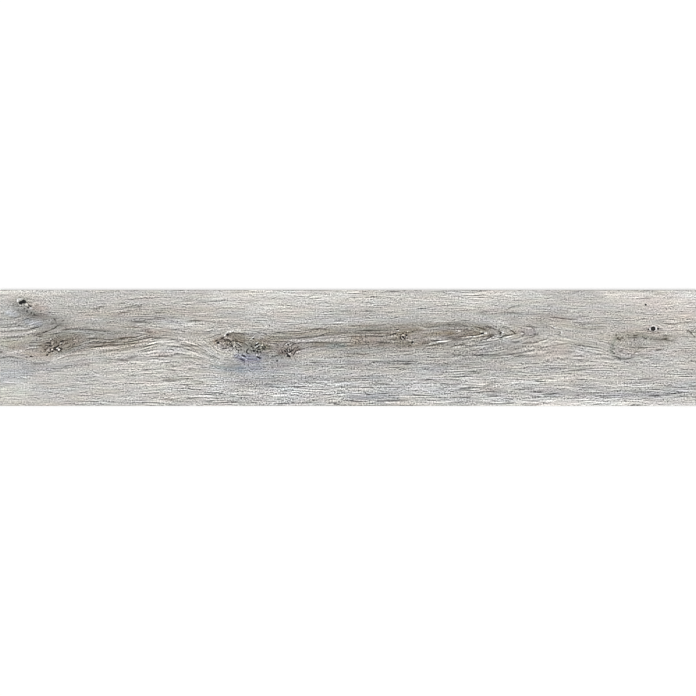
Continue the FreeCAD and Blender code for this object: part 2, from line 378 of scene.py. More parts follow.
# Lines of the print: tone, light above 0 and dark below, half width, then paths of (x, y)
LINES = [
    # Corner knot
    (0.75, 1.2, [(-569, 78.5), (-569.6, 82), (-568, 84.6), (-564.5, 84.6), (-561.5, 83.2)]),
    (-0.35, 1, [(-568, 87.3), (-563, 87)]),
    (0.3, 0.8, [(-567, 74), (-562, 73.8)], [(-588, 63), (-585, 58), (-579, 55)]),
    (-1.2, 1.2, [(-550.3, 74.6), (-548, 72.4), (-546, 71)]),
    (0.35, 0.8, [(-555, 77.6), (-551, 74), (-547.7, 70.6)]),
    (0.95, 1.3, [(-547, 69.3), (-545.8, 69)]),
    (-0.35, 0.9, [(-556, 79), (-553, 77.5), (-550.3, 75)]),
    (-0.95, 1.1, [(-552, 70.3), (-549.8, 69)]),
    (-0.65, 1.2, [(-558.2, 68), (-556.8, 67.4)]),
    (-0.85, 1.2, [(-553.8, 63.8), (-552.4, 62.6)]),
    (-0.6, 1.2, [(-546.6, 60.6), (-545, 60)]),
    (-0.35, 1.2, [(-541.5, 57.2), (-540, 56.4)]),
    (-0.3, 1.1, [(-541, 57), (-530, 55)]),
    (-0.3, 0.9, [(-541, 74), (-536, 73), (-531, 71)]),
    (0.22, 0.8, [(-582, 66), (-580, 62), (-574, 60)]),
    (-0.4, 0.8, [(-588, 56), (-580, 52), (-570, 53), (-562, 56)]),
    (-0.2, 0.8, [(-559, 47), (-552, 50), (-546, 49)]),
    (0.32, 0.9, [(-549, 36.3), (-545, 37), (-541.5, 38)]),
    (0.12, 0.8, [(-548, 41), (-543, 43), (-540, 46)]),
    (-0.3, 0.8, [(-548, 34.5), (-540, 35), (-534, 37)]),
    (-0.45, 0.9, [(-506.8, 50.2), (-503.4, 47)]),
    (0.4, 1.2, [(-514.8, 44.6), (-513.2, 44.6)]),
    (-0.45, 1.2, [(-526, 48.6), (-524.2, 48)]),
    (-0.3, 1, [(-493, 47), (-488.7, 47.7)]),
    # Grain rising past the left swirls
    (-0.4, 1, [(-541, 23), (-530.5, 24), (-525.7, 25.6), (-520.7, 28.2), (-515.8, 29.8), (-509.7, 32.3),
     (-504.7, 34.8), (-501, 38.2), (-495, 39.8)]),
    (-0.45, 1.1, [(-523.5, 27.4), (-518, 29)]),
    (0.08, 0.9, [(-552, 28), (-535, 31), (-515, 38)]),
    (-0.22, 0.9, [(-600, 28), (-575, 29), (-545, 33), (-525, 40)], [(-585, 37), (-565, 38), (-550, 42)]),
    (0.15, 0.8, [(-600, 25.6), (-575, 26), (-550, 27.5), (-536, 31)]),
    (-0.3, 1, [(-592, 18.5), (-575, 19), (-556, 20)]),
    (0.16, 0.8, [(-600, 22), (-565, 22.5), (-545, 24)]),
    (0.22, 0.8, [(-600, 33.5), (-575, 34), (-557, 36)]),
    (-0.35, 1.2, [(-567.5, 38.8), (-566, 38.6)]),
    (-0.4, 1.2, [(-531.5, 19.6), (-529.8, 19.6)]),
    (0.3, 0.9, [(-564, 32.8), (-558, 33.2)]),
    (-0.24, 0.9, [(-600, 40.5), (-585, 40), (-570, 43)]),
    (0.2, 0.8, [(-600, 43.5), (-585, 43.5), (-572, 46)]),
    (-0.35, 1, [(-440, 65), (-428, 70), (-418, 76)], [(-394, 77), (-384, 78)]),
    (-0.48, 1.1, [(-384, 69), (-378, 71), (-368, 73), (-358, 71)]),
    (-0.38, 1, [(-398, 58), (-388, 61), (-376, 61)]),
    # Knot in the left lens
    (-0.95, 1.25, [(-519.7, 9), (-516, 8.8), (-512.7, 8.7)]),
    (-0.95, 1.1, [(-515.6, 4.3), (-511, 3)]),
    (-0.5, 0.9, [(-522.3, 4.2), (-517.3, 3.7)], [(-519.9, 0.3), (-517.8, -0.4)]),
    (-1.05, 1.15, [(-508, -0.3), (-505, 0.6), (-502.5, 1.5), (-499.6, 4)]),
    (-1.05, 1.5, [(-499.8, 4), (-499, 4.4)]),
    (-1.05, 1.2, [(-497.8, 0.4), (-495.1, -1.2), (-493.2, -2.9)]),
    (-1.05, 1.1, [(-507, -2.7), (-503.7, -2.8), (-501.3, -3.4)]),
    (-1, 1.5, [(-509.8, -5.7), (-508.8, -6.1)]),
    (-1, 1.3, [(-512.8, -1.6), (-512.6, -2.9)]),
    (-0.8, 1.2, [(-522.6, -1.8), (-521, -4)], [(-494.1, 5.7), (-493.1, 5.3)]),
    (-0.85, 1.1, [(-516.4, -8.4), (-513.4, -7.2)]),
    (-0.85, 1.6, [(-518.9, -12.3), (-517.7, -12.3)]),
    (-0.7, 1.1, [(-502.6, 11), (-501.9, 7.7)]),
    (-1.05, 1.25, [(-495.6, 11), (-493, 11.8), (-490.4, 12.8)]),
    (-0.4, 0.9, [(-507, 6.4), (-505.4, 7.8)]),
    (-0.55, 1, [(-499, -5.7), (-497.4, -7.3)], [(-495.9, -4.4), (-493.7, -6.2)]),
    (-0.45, 0.8, [(-512.8, 13), (-511, 13)]),
    (-0.4, 0.8, [(-507, 13), (-505, 11)], [(-489, 6), (-486, 8)]),
    (0.85, 1.4, [(-499.2, -2.7), (-498.5, -3.6)]),
    (0.55, 0.8, [(-503.2, -1.2), (-500, 0.2)]),
    (0.5, 0.8, [(-497.8, -1.6), (-495.6, -3.5)]),
    (0.5, 0.9, [(-517.4, -4.1), (-514.7, -1.1)]),
    (0.45, 0.8, [(-511.3, -3.5), (-509.3, -2.2), (-506.8, -1.2)]),
    (0.45, 1.3, [(-512.6, 15.6), (-511.4, 15)]),
    (0.32, 0.9, [(-509.9, 2.2), (-509, 1.9)]),
    (0.5, 1.1, [(-495, 8), (-494, 7.7)]),
    (0.3, 0.8, [(-510.5, 10.4), (-507, 8.6)], [(-515, -13), (-519, -15)]),
    (0.38, 0.8, [(-490, 15), (-488.3, 15)]),
    (0.26, 0.8, [(-509.5, -8.4), (-504, -6.6)], [(-521, 1.8), (-518, 2)]),
    # Left lens
    (-0.33, 1.1, [(-492, 32), (-468, 33), (-440, 31), (-412, 28)], [(-600, -18), (-585, -15), (-574, -15)]),
    (-0.28, 0.9, [(-500, 8), (-488, 13), (-470, 15), (-452, 17), (-425, 15), (-400, 14.5), (-390, 17)],
     [(-550, 8.7), (-541, 9.3), (-526, 9)]),
    (0.26, 1, [(-474, 12), (-455, 17), (-440, 21), (-428, 24)]),
    (-0.37, 0.9, [(-392, 18), (-378, 18), (-360, 19)]),
    (-0.35, 1, [(-450, 8), (-420, 9), (-400, 10), (-375, 11), (-355, 16), (-332, 20)],
     [(-396, 36), (-370, 36), (-356, 34), (-345, 29)]),
    (-0.22, 0.9, [(-480, 3), (-450, 3), (-425, 3), (-405, 4), (-384, 6), (-365, 8)]),
    (-0.26, 0.9, [(-346, 32), (-338, 28), (-347, 26)]),
    (-0.21, 1, [(-357, 22), (-340, 25)]),
    (0.16, 0.9, [(-522, -26), (-505, -20), (-490, -14), (-476, -10), (-456, -9)]),
    (-0.37, 1.1, [(-545, -26), (-530, -27), (-514, -25)]),
    (-0.26, 1, [(-500, -20), (-485, -15), (-468, -12), (-448, -11)]),
    (-0.22, 1, [(-512, -36), (-494, -35), (-480, -30), (-445, -29)]),
    (-0.9, 1.3, [(-548, -14.7), (-544.6, -14.7)]),
    (0.4, 0.9, [(-547.5, -17.2), (-544.5, -17.2)]),
    (-0.4, 1.1, [(-555, -17), (-552.6, -16.2)]),
    (-0.4, 1, [(-557.2, -4.6), (-553, -2.2), (-545, -1.6), (-532, -1.4)]),
    (-0.4, 0.9, [(-549.5, 3.7), (-540, 3.8), (-528, 4.6)]),
    (0.26, 0.9, [(-582, -8.4), (-570.4, -6.2), (-559.4, -4.8), (-550.7, -0.6), (-538, 0.8)]),
    (-0.7, 1.5, [(-600, -7.6), (-597, -5.8)]),
    (-0.45, 1.1, [(-584.6, 6.4), (-585, 3.4), (-582.6, 0.7)]),
    # Plain grain left of the middle knots
    (0.24, 0.8, [(-440, -1.5), (-410, 0), (-385, 2.5), (-360, 6), (-330, 9), (-305, 12), (-276, 17)]),
    (-0.28, 0.9, [(-440, 2), (-415, 5.5), (-390, 6), (-365, 9), (-335, 11.5)]),
    (-0.26, 0.9, [(-430, -5), (-400, -2.5), (-375, 0.5), (-345, 4), (-320, 7)],
     [(-310, 3), (-275, 3), (-252, 4), (-240, 2)],
     [(-345, -15), (-312, -15), (-298, -17), (-270, -17), (-250, -20)], [(-201, -94), (-189, -93)],
     [(-336, 52.5), (-322, 52)]),
    (-0.34, 0.9, [(-395, 8), (-375, 11), (-358, 14), (-345, 17.5), (-330, 18), (-312, 17)]),
    (-0.48, 1.5, [(-391, 16.5), (-388.5, 16.3)]),
    (-0.24, 0.9, [(-245, 8.5), (-239, 4.5)],
     [(-274, 47), (-250, 46.5), (-225, 44), (-208, 43), (-196, 40.5), (-160, 40)]),
    (-0.22, 0.9, [(-282, -1.5), (-255, -2.5), (-240, -6)], [(-272, -86), (-261, -85)]),
    (-0.32, 1, [(-399.5, 26.5), (-396, 26)], [(-336, 60.5), (-322, 61), (-316, 61)]),
    (-0.29, 1, [(-404, 24), (-400.5, 23.5)]),
    (-0.27, 1.1, [(-309, -28.5), (-307, -28.5)]),
    (-0.22, 1.1, [(-430, -8), (-410, -6), (-384, -4)]),
    (-0.36, 1.2, [(-402, -21), (-392, -20), (-384, -22), (-374, -17), (-366, -15)]),
    (-0.22, 1, [(-420, -42), (-405, -41), (-388, -39)]),
    (0.18, 0.8, [(-414, -61.5), (-384, -61)], [(-322, -86), (-300, -85.5)]),
    (-0.41, 1, [(-320, -54.5), (-305, -54), (-288, -55)]),
    (0.18, 0.9, [(-322, -57.5), (-306, -57)]),
    (-0.24, 1, [(-322, -88.5), (-299, -88)]),
    (-0.32, 0.9, [(-260, -80.5), (-245, -80), (-227, -79)]),
    (0.24, 0.9, [(-270, -82.5), (-228, -82.5)]),
    (-0.16, 0.8, [(-262, 82), (-238, 81), (-198, 80.5), (-165, 80)]),
    (-0.27, 0.9, [(-290, -51), (-275, -53), (-262, -57), (-248, -59)]),
    (-0.36, 1, [(-276, 47.2), (-262, 47.4), (-250, 46.8)]),
    (-0.3, 0.9, [(-282, 81), (-272, 82), (-264, 83)]),
    (-0.3, 1, [(-374, 45.4), (-358, 45), (-345, 45)]),
    (0.3, 0.9, [(-366, 40.6), (-352, 42.5)]),
    # First middle knot
    (0.68, 0.78, [(-214, 20), (-211, 24), (-208, 27), (-203, 28), (-199, 29.5), (-185, 30)]),
    (-0.48, 0.9, [(-206, 23.5), (-200, 25.5), (-190, 25), (-175, 24.5)]),
    (0.56, 0.7, [(-213, 19), (-206, 17), (-202, 15.5)]),
    (-0.69, 1.14, [(-220, 15), (-214, 18)]),
    (-0.88, 1.03, [(-214, 15), (-211, 12.5)], [(-210, 14.5), (-205, 13.5)], [(-217, -1.5), (-209, -1)]),
    (-0.75, 1.03, [(-204, 13), (-202, 9)], [(-229, 12), (-225, 13)]),
    (0.41, 0.7, [(-212, 10), (-216, 6)], [(-191, 9.5), (-187, 6.5), (-182, 4)]),
    (0.56, 0.78, [(-228.3, 9.3), (-227, 8.7)], [(-223.8, 5.9), (-222.3, 5.7)]),
    (0.52, 0.78, [(-221, 9.3), (-220, 8.8)]),
    (0.36, 0.7, [(-226, 2), (-222, 0.5)], [(-198, 7), (-196, 4), (-199, 0), (-203, -4)],
     [(-177, 9.5), (-172, 6)]),
    (-0.75, 1.14, [(-204, 8), (-200, 3), (-199, 1)]),
    (0.52, 0.7, [(-203, 8), (-201, 4)]),
    (-0.5, 0.81, [(-206, -4.5), (-200, -4), (-198, -1)], [(-178, 8), (-174, 5), (-173, 3)]),
    (-0.45, 0.9, [(-200, 13), (-190, 11), (-181, 9)]),
    (-0.69, 0.93, [(-193, 9), (-187, 4.5), (-183, 1.5)]),
    (-0.75, 1.24, [(-192.5, -1.5), (-191.5, -2.5)], [(-189.5, -4), (-188.5, -4)],
     [(-184.5, -3), (-183.5, -3)]),
    (-0.4, 0.81, [(-221, 12), (-217, 10)], [(-218, 6), (-214, 3)], [(-210, 7), (-207, 4)],
     [(-207, 1), (-204, -2)], [(-196, 1), (-193, 3)]),
    (-0.35, 0.81, [(-196, 15.5), (-191, 13.5)]),
    (0.31, 0.7, [(-219, 8), (-215, 11)], [(-209, 10), (-206, 8)], [(-194, -4.5), (-190, -6)],
     [(-186, 3), (-181, -1)]),
    (0.25, 0.7, [(-195, 10), (-192, 7.5)]),
    (0.14, 0.7, [(-258, 0), (-242, -6), (-226, -14), (-214, -20)]),
    (0.15, 0.7, [(-245, 2), (-228, -7), (-210, -15)]),
    (-0.26, 0.81, [(-258, -4), (-240, -11), (-222, -19)]),
    (0.12, 0.7, [(-258, -12), (-238, -18), (-220, -27)]),
    # Second middle knot
    (0.64, 0.7, [(-168, 15), (-165, 17), (-161, 21)]),
    (-0.88, 1.35, [(-163.8, 16.5), (-162.3, 16.5)]),
    (-1.05, 1.24, [(-160, 4), (-154, 8)], [(-157, -14), (-153, -17), (-150, -17)]),
    (0.68, 0.7, [(-160, 7), (-155, 10)], [(-160, 1), (-153, 5), (-151, 6)]),
    (-1.05, 1.03, [(-158, -1), (-152, 4)], [(-148, 2), (-144, -1)], [(-156, -2.5), (-151, -2.5)]),
    (0.56, 0.7, [(-150, 4), (-146, 6)]),
    (-0.88, 0.93, [(-145, 4), (-142, 1)]),
    (-0.88, 1.24, [(-167, 2.8), (-165.5, 2.8)], [(-164, 0), (-162.5, 0)], [(-152, -6.8), (-150.3, -6.5)]),
    (0.68, 0.78, [(-154.5, -4.8), (-153, -4.8)]),
    (0.41, 0.7, [(-158, -12), (-154, -14)], [(-148, 4), (-144, 0.5)]),
    (0.36, 0.7, [(-156, -18.5), (-153, -19.5)], [(-170, 6), (-167, 8)], [(-180, -10), (-172, -17)]),
    (-0.5, 0.81, [(-141, 5), (-138, 3)], [(-170, 9), (-166, 6.5)]),
    (0.31, 0.7, [(-143, -3), (-139, -1)], [(-166, -1), (-163.5, -3)]),
    (-0.45, 0.81, [(-147, -1.5), (-142, -3)], [(-168, -3), (-165, -6)]),
    (-0.4, 0.81, [(-139, 15), (-134, 17)]),
    (-0.75, 0.93, [(-171, -1), (-174, -4), (-175, -6)], [(-176, -7), (-171, -10)]),
    (-1, 1.03, [(-183, -12), (-177, -15.5)]),
    (0.6, 0.9, [(-187, -12), (-180, -17), (-174, -20)]),
    (-0.45, 0.99, [(-186, -18), (-178, -23)]),
    # Third middle knot
    (-0.35, 0.81, [(-111, 3), (-108, 8), (-102, 10.5), (-96, 10), (-90, 8)]),
    (0.36, 0.78, [(-108, 5), (-104, 8), (-101.5, 7.5)]),
    (-0.4, 0.81, [(-100, 2), (-95, 6), (-91, 7.5)]),
    (-0.5, 0.81, [(-93, -2.5), (-92, 1)]),
    (-0.75, 1.03, [(-98, -5), (-94, -3)], [(-122.5, 5.3), (-121, 4.8)], [(-122.5, 2), (-121.3, 1.7)]),
    (-1.05, 1.14, [(-105.5, -2), (-103.5, -6)]),
    (-1, 1.14, [(-109.5, -4), (-107.5, -7)]),
    (-0.88, 1.14, [(-113.5, -6.5), (-112, -8)]),
    (-1, 1.03, [(-101.5, -2), (-100.8, -4)]),
    (-1.05, 1.03, [(-102, -7.5), (-99, -6), (-97, -5)]),
    (-0.55, 0.9, [(-94.5, -12), (-92.5, -9), (-90.5, -6)]),
    (0.68, 0.7, [(-104, -2.5), (-102, -5)]),
    (0.62, 0.86, [(-103, -9), (-101, -10.5), (-99, -8.5)]),
    (0.56, 0.78, [(-106.6, -12), (-105.4, -12)], [(-99.3, -12.5), (-98, -13.5)]),
    (-0.28, 0.85, [(-90, -5.5), (-86, -3), (-82, -1.5), (-76, -1)]),
    (0.36, 0.7, [(-92, -9), (-88, -7.5), (-84, -6)]),
    (-0.5, 0.9, [(-88, 0), (-86, 2)]),
    (0.64, 0.78, [(-82.2, 7.5), (-81, 7.5)]),
    (0.52, 0.7, [(-120.3, 2.5), (-119, 2.4)]),
    (-0.35, 0.9, [(-132, -15), (-125, -14), (-118, -11)]),
    (0.06, 0.7, [(-105, 12.5), (-80, 12.5), (-60, 13)]),
    (-0.18, 1.35, [(-120, 16.5), (-95, 16.5), (-60, 18)]),
    # Ring knot
    (-0.85, 1.1, [(90, 20.5), (90.1, 18), (91, 16), (92.8, 14.6)]),
    (-0.65, 1, [(91.6, 22.8), (94, 25), (97, 24.8)]),
    (-0.55, 1, [(98, 17.4), (96.6, 14.6)]),
    (0.4, 0.8, [(92.8, 21.8), (94.8, 22.4), (97, 21.6)], [(92, 18.6), (92.7, 16.6), (94.6, 15.6)]),
    (0.75, 1.1, [(100.2, 19.4), (100.9, 19.2)]),
    (-0.5, 1, [(100.2, 25.2), (100.8, 27.6)]),
    (0.42, 0.9, [(102.1, 28.1), (103.2, 28.1)], [(87.4, 22.3), (88.6, 22)]),
    (-0.4, 1, [(102.2, 16.8), (103, 16.4)], [(83.3, 3.4), (86.2, 3.7)]),
    (-0.8, 1.05, [(76.2, 23), (80.5, 24.6), (83, 26.2)]),
    (0.5, 0.9, [(83.3, 28.8), (87.3, 30.2)], [(112.6, 12.8), (113.6, 12)]),
    (-0.6, 1, [(82.8, 31.8), (87.3, 31.8)]),
    (-0.5, 0.9, [(85.4, 24), (84.8, 21.4)]),
    (0.22, 0.8, [(100.2, 14.8), (104.5, 13.4), (109.4, 11.8)]),
    (0.45, 0.9, [(112, 7.9), (113.2, 7.5)]),
    (-0.32, 0.9, [(103.5, 10.4), (108.2, 9.9)]),
    (-0.45, 1, [(104.8, 3.7), (109, 3.9)]),
    (-0.3, 0.9, [(103, 27), (110, 28), (114, 30.5)]),
    (-0.28, 0.9, [(60, 21), (75, 21)], [(63, 25), (75, 25)]),
    (-0.24, 0.9, [(73, 14.6), (83, 14.2)]),
    # Heartwood
    (-0.35, 1.1, [(-82, 33), (-68, 31), (-50, 33), (-32, 32)]),
    (-0.2, 1.2, [(-90, 17), (-55, 20), (-20, 24.5), (10, 25), (45, 25), (75, 24), (90, 28)]),
    (-0.22, 1, [(-50, 17), (-25, 18), (-5, 19), (25, 20), (70, 21)]),
    (0.1, 0.8,
     [(-92, 12.5), (-65, 13), (-38, 14), (-27, 15.5), (-15, 19), (10, 22.5), (36, 23.5), (62, 22.8)]),
    (0.26, 0.9, [(-30, 43.5), (-12, 44), (2, 46)]),
    (-0.26, 1, [(-22, 46.5), (-6, 48)], [(-28, 41.5), (-8, 42)], [(198, 31), (215, 30), (226, 27)]),
    (-0.3, 1.2, [(-85, 9), (-60, 9.5), (-30, 9), (5, 9)], [(15, 30), (40, 30), (70, 30)]),
    (-0.24, 1.2, [(5, 38), (30, 38.5), (60, 38)]),
    (-0.33, 1.1, [(50, 8), (62, 9), (75, 8)], [(133, 3), (150, 6), (166, 8)]),
    (-0.12, 1, [(105, 27), (116, 30), (128, 30)]),
    (-0.15, 1, [(128, 31), (155, 31), (185, 31.5), (198, 32)], [(150, 25), (170, 24.5), (195, 24)]),
    (-0.16, 1, [(152, 22), (175, 21), (192, 20)]),
    (0.32, 1.1, [(158, 11.2), (168, 11.6), (178, 12.6)]),
    (0.5, 1.1, [(196, 18), (204, 19.4), (212, 19.8), (220, 19.8), (227, 21.4), (234, 23.6)]),
    (0.3, 0.9, [(119, 37.5), (126, 36), (131, 34), (137, 33)]),
    (0.25, 0.9, [(146, 44.8), (158, 46), (172, 45.5)]),
    (-0.3, 1, [(172, 42), (177, 39)], [(241, 21.5), (252, 24)]),
    (-0.25, 1, [(180, 40.5), (196, 41), (201, 38)]),
    (-0.38, 1.1, [(222, 36), (230, 34), (236, 31), (240, 28.5)]),
    (0.28, 0.9, [(246, 46), (262, 45), (276, 41)]),
    (-0.45, 1.1, [(192, 19.5), (206, 20.8), (220, 22), (231, 25)]),
    (0.33, 0.9, [(216, 31.4), (224, 31.4)]),
    (0.5, 0.9, [(228.6, 28.2), (231.4, 28)]),
    (0.55, 1.1, [(235, 25.8), (239, 25.2)]),
    (0.42, 1, [(133, 6), (146, 8), (160, 11.5)]),
    (-0.62, 1.1, [(147, 12), (158, 13)]),
    (-0.5, 1, [(130, 8), (139, 8.5)], [(178, 2), (190, 5), (201, 7)]),
    (0.4, 0.9, [(180, 0), (196, 3), (210, 6)]),
    (-0.19, 1, [(175, 16.5), (196, 17)]),
    (-0.1, 1, [(112, 38), (135, 36.5), (165, 38), (200, 38), (222, 37)]),
    (-0.26, 0.9, [(224, 60.5), (236, 62.5), (247, 64)]),
    (0.4, 0.8, [(147, 15), (159, 15)]),
    (0.45, 0.9, [(221, 2.5), (225.5, 4)]),
    (-0.4, 0.9, [(219, 4.2), (223, 5.6)]),
    (0.3, 0.8, [(187, 30), (194, 29.6)]),
    # Nested tips of the heartwood, pointing right
    (-0.35, 0.9, [(236, 36.5), (247, 34.5), (256, 31.5)]),
    (-0.6, 1, [(258, 30), (261.5, 28), (264, 26)], [(260, 23.4), (263, 25), (265.5, 27)]),
    (0.75, 1, [(265, 28.2), (267.2, 26.6), (266.6, 24.6)]),
    (0.35, 1, [(232, 12.2), (240, 14), (247, 16.8), (256, 19), (266, 20.2)]),
    (-0.45, 1, [(229, 14.4), (236, 14.4), (245, 18.8), (253, 22)],
     [(265, 19), (270, 20.6), (275, 22), (282, 23.4), (288.6, 24.8)],
     [(280, 10.6), (288, 10.4), (295, 11)]),
    (-0.75, 1.1, [(260.5, 17), (266, 18)]),
    (0.6, 1, [(268, 16), (269, 15.2)]),
    (0.4, 0.9, [(262.5, 14.2), (264, 14)], [(351, 39), (354.6, 36), (358, 32.6)]),
    (-0.58, 1, [(279.5, 31.4), (284, 28.6), (288.6, 25.2)], [(300, 28.6), (303, 26.6), (305, 24.8)]),
    (0.28, 0.9, [(271, 18.2), (278, 19.6), (285, 21.2)]),
    (0.45, 0.9, [(279.8, 32.8), (282.4, 32)]),
    (-0.24, 0.9, [(262, 36), (271, 34.5), (279, 32)]),
    (-0.55, 1, [(299.4, 21.6), (302, 22.4), (304.4, 24)]),
    (0.55, 0.9, [(299, 24.6), (301.6, 24.8)]),
    (-0.36, 1, [(300, 38), (308, 38.3), (311, 38)]),
    (-0.42, 1, [(311, 38), (314.5, 36.4)], [(314.5, 36.4), (318.8, 34), (322, 30.2)],
     [(363, 28.4), (366, 26.6), (364.4, 24.2), (362, 23)]),
    (-0.3, 1, [(322, 30), (323.4, 26), (322.4, 22.4), (319.6, 19.6), (312, 18.2), (305, 20)]),
    (-0.22, 1.1, [(327.6, 29), (327, 24.6), (325.4, 21)]),
    (-0.24, 1, [(333, 38.4), (346, 38.4)]),
    (-0.5, 1, [(349, 37.2), (352.6, 34.8), (355.4, 33)]),
    (0.4, 0.8, [(368, 28), (367.6, 24.6)]),
    (-0.38, 1, [(350, 52.5), (362, 52), (378, 50), (398, 50)]),
    (-0.26, 1, [(389, 45), (400, 42.6), (425, 42.2), (440, 42.6)]),
    (0.26, 0.8, [(415, 39.4), (440, 39.8)]),
    (-0.27, 1, [(274, 66), (283, 71), (296, 73)]),
    (-0.31, 1, [(262, 61), (285, 60.5), (300, 58)], [(340, 2), (362, 5.5), (382, 8.5)]),
    (-0.42, 1.1, [(300, 8), (314, 9), (326, 9)]),
    (-0.34, 1, [(325, 11), (334, 12.8), (343, 15.6)]),
    (0.22, 0.9, [(330, 10), (338, 12), (345, 14.6)]),
    # Lines under the heartwood
    (-0.3, 1, [(178, -11), (194, -12), (206, -15)], [(148, -60.6), (152, -61.6)],
     [(152, -70), (166, -69.5)], [(240, -84), (258, -83)]),
    (-0.26, 0.9, [(208, -11), (226, -13), (240, -11), (260, -12), (280, -11), (300, -11)]),
    (-0.27, 1, [(144, -17), (157, -16)]),
    (-0.25, 1, [(95, -12), (112, -10.5)], [(-6, -14), (5, -15)], [(10, -9), (24, -11), (38, -10)],
     [(7, -68), (14, -68)], [(30, -68), (39, -68)]),
    (-0.4, 1, [(96, -28), (109, -27)], [(205, -28.2), (214, -28)]),
    (-0.31, 1.1, [(44, -23), (62, -24), (92, -23), (118, -23)]),
    (-0.22, 1, [(-62, -25), (-53, -25)], [(338, -82), (360, -82)]),
    (-0.34, 1, [(215, -44), (228, -43)], [(388, -14), (398, -13), (406, -13)]),
    (-0.32, 1, [(165, -26), (174, -28)]),
    (0.4, 0.9, [(113, -57), (117, -60)]),
    (-0.28, 1, [(236, -63.5), (254, -62)], [(222, -77), (240, -75.5), (260, -76)],
     [(-25, -59), (-12, -57.5), (2, -58)], [(-28, -70), (-14, -67), (6, -67)]),
    (0.25, 0.9, [(392, -11), (403, -11)], [(136, -57), (145, -57)], [(-24, -64), (-8, -61), (6, -61.5)],
     [(64, -93.5), (98, -93)]),
    (-0.24, 1.5, [(348, -35), (362, -34.5), (374, -34)]),
    (-0.28, 1.1, [(322, -55.5), (334, -53.5), (346, -53), (357, -53)]),
    (-0.38, 0.9, [(303, -70), (322, -70)]),
    (-0.2, 1, [(296, -97), (332, -97.5)]),
    (-0.38, 1, [(158, -63), (178, -63), (194, -62)], [(184, -73), (200, -72), (212, -72)]),
    (-0.45, 1, [(180, -85), (200, -85), (214, -84)]),
    (-0.5, 1, [(136, -54), (145, -54.5)]),
    (-0.3, 1.2, [(-18, -75), (-10, -73)]),
    (-0.28, 0.9, [(40, -61), (56, -61), (72, -61)]),
    (-0.48, 1.1, [(52, -91), (72, -91), (102, -90)]),
    # Ear on the right
    (-0.45, 1, [(520.5, 29.4), (523, 28), (525.8, 27.2), (528.8, 27.8)],
     [(508.8, 18.6), (511.4, 17.2), (514.6, 15.4)]),
    (0.6, 0.9, [(520.8, 31.6), (520.6, 34.2)]),
    (0.85, 1.1, [(531.2, 34.4), (531.4, 32.4)]),
    (-0.24, 0.9, [(535, 33.5), (541, 33.3)], [(528, 46), (545, 43), (562, 41), (576, 43), (592, 46)]),
    (-0.3, 1.1, [(534, 26.8), (535.4, 26.2)]),
    (-0.26, 1.1, [(515.6, 28.6), (517.2, 28.2)]),
    (-0.34, 1, [(481.2, 23.6), (483.1, 22.2), (486.4, 21.8)], [(594.4, 29.4), (597.6, 27.4), (600, 26.4)]),
    (-0.36, 1, [(491, 21), (496, 21.6), (499.2, 22.8)], [(464, 18.6), (466.5, 15.4), (469, 12.6)]),
    (-0.4, 1, [(469.6, 16.8), (474.2, 17.4)], [(520.7, 15.4), (523.2, 15.4)],
     [(545, 42), (562, 41), (568, 41)], [(587, 30.4), (590.5, 26.6), (593.4, 23.6), (596.6, 20)]),
    (-0.35, 1, [(480, 18), (497, 18)], [(547, 17.6), (548.4, 14), (552, 12.4), (556, 13)]),
    (-0.3, 1, [(460.3, 22.4), (463, 21)], [(526, 15.2), (531.7, 14), (543.5, 14.2)],
     [(451, 8.7), (454.8, 6.2), (459, 3.6)]),
    (-0.4, 1.1, [(494, 16), (495.4, 12.7)]),
    (-0.45, 1.2, [(447.9, 9.3), (449.4, 9.1)]),
    (-0.3, 1.2, [(454, -1.2), (455.4, -1.4)]),
    (-0.28, 1.2, [(457.4, -1.8), (458.4, -2.2)]),
    (-0.45, 0.9, [(450.3, -3), (453.5, -4.4), (457.2, -8), (459.3, -11.2)]),
    (-0.52, 0.95, [(456.8, -14.6), (460.3, -15), (464.6, -16.6), (469.6, -18.4), (475.7, -19.3),
     (480.6, -19), (486.8, -17.6), (491.9, -16.6)]),
    (-0.42, 1, [(467.4, -6), (473.4, -4.4)]),
    (0.24, 0.9, [(466, 2), (472, 2)], [(560, 38.8), (571, 38.8)], [(552, 16), (556, 15.4)]),
    (-0.5, 1, [(494, -8.2), (498.6, -5.4)]),
    (0.4, 0.9, [(496, -8.8), (498.4, -9.6)]),
    (-0.36, 0.95, [(500.3, -0.8), (504, 0.8), (508.3, 0.4), (513.9, 0.4), (517.2, 1)]),
    (-0.35, 0.9, [(531.5, -2.4), (537.3, -2.4), (543.4, -0.6)]),
    (0.4, 1.1, [(525.4, -5.4), (529.2, -5.6)]),
    (-0.24, 1, [(462, 24), (466, 14)]),
    (-0.16, 0.9, [(540, 21), (556, 21.6), (575, 20.2), (600, 20)]),
    (-0.15, 0.9, [(546, 20.4), (553, 21)]),
    (-0.19, 0.9, [(588, 11.4), (600, 11)]),
    (-0.37, 1, [(583, 27.4), (586.6, 29), (589.6, 28)], [(590.4, 26), (594.4, 30), (598, 33), (600, 34.4)]),
    (-0.5, 1.4, [(597, 19.6), (598, 19.2)]),
    (0.28, 0.9, [(587.4, 33.6), (588.8, 34.2)], [(591.4, 28.6), (593, 27)]),
    (0.25, 0.9, [(595.8, 31), (599, 29.4)]),
    (0.22, 0.9, [(582, 24.6), (587, 22.6)], [(594, 24.6), (597.6, 22.6)]),
    (-0.22, 0.9, [(581.6, 31), (584, 32.4)]),
    # Lines along the bottom right
    (-0.49, 1.1, [(518, -82), (528, -82.5), (537, -82)]),
    (-0.36, 1, [(545, -79), (562, -79), (576, -74)]),
    (-0.23, 1, [(571, -84), (588, -84)], [(578, -61), (600, -60)], [(380, -63), (400, -63), (428, -61)]),
    (-0.3, 1, [(588, -66), (600, -66)]),
    (-0.26, 1, [(428, -84), (450, -85), (474, -85)]),
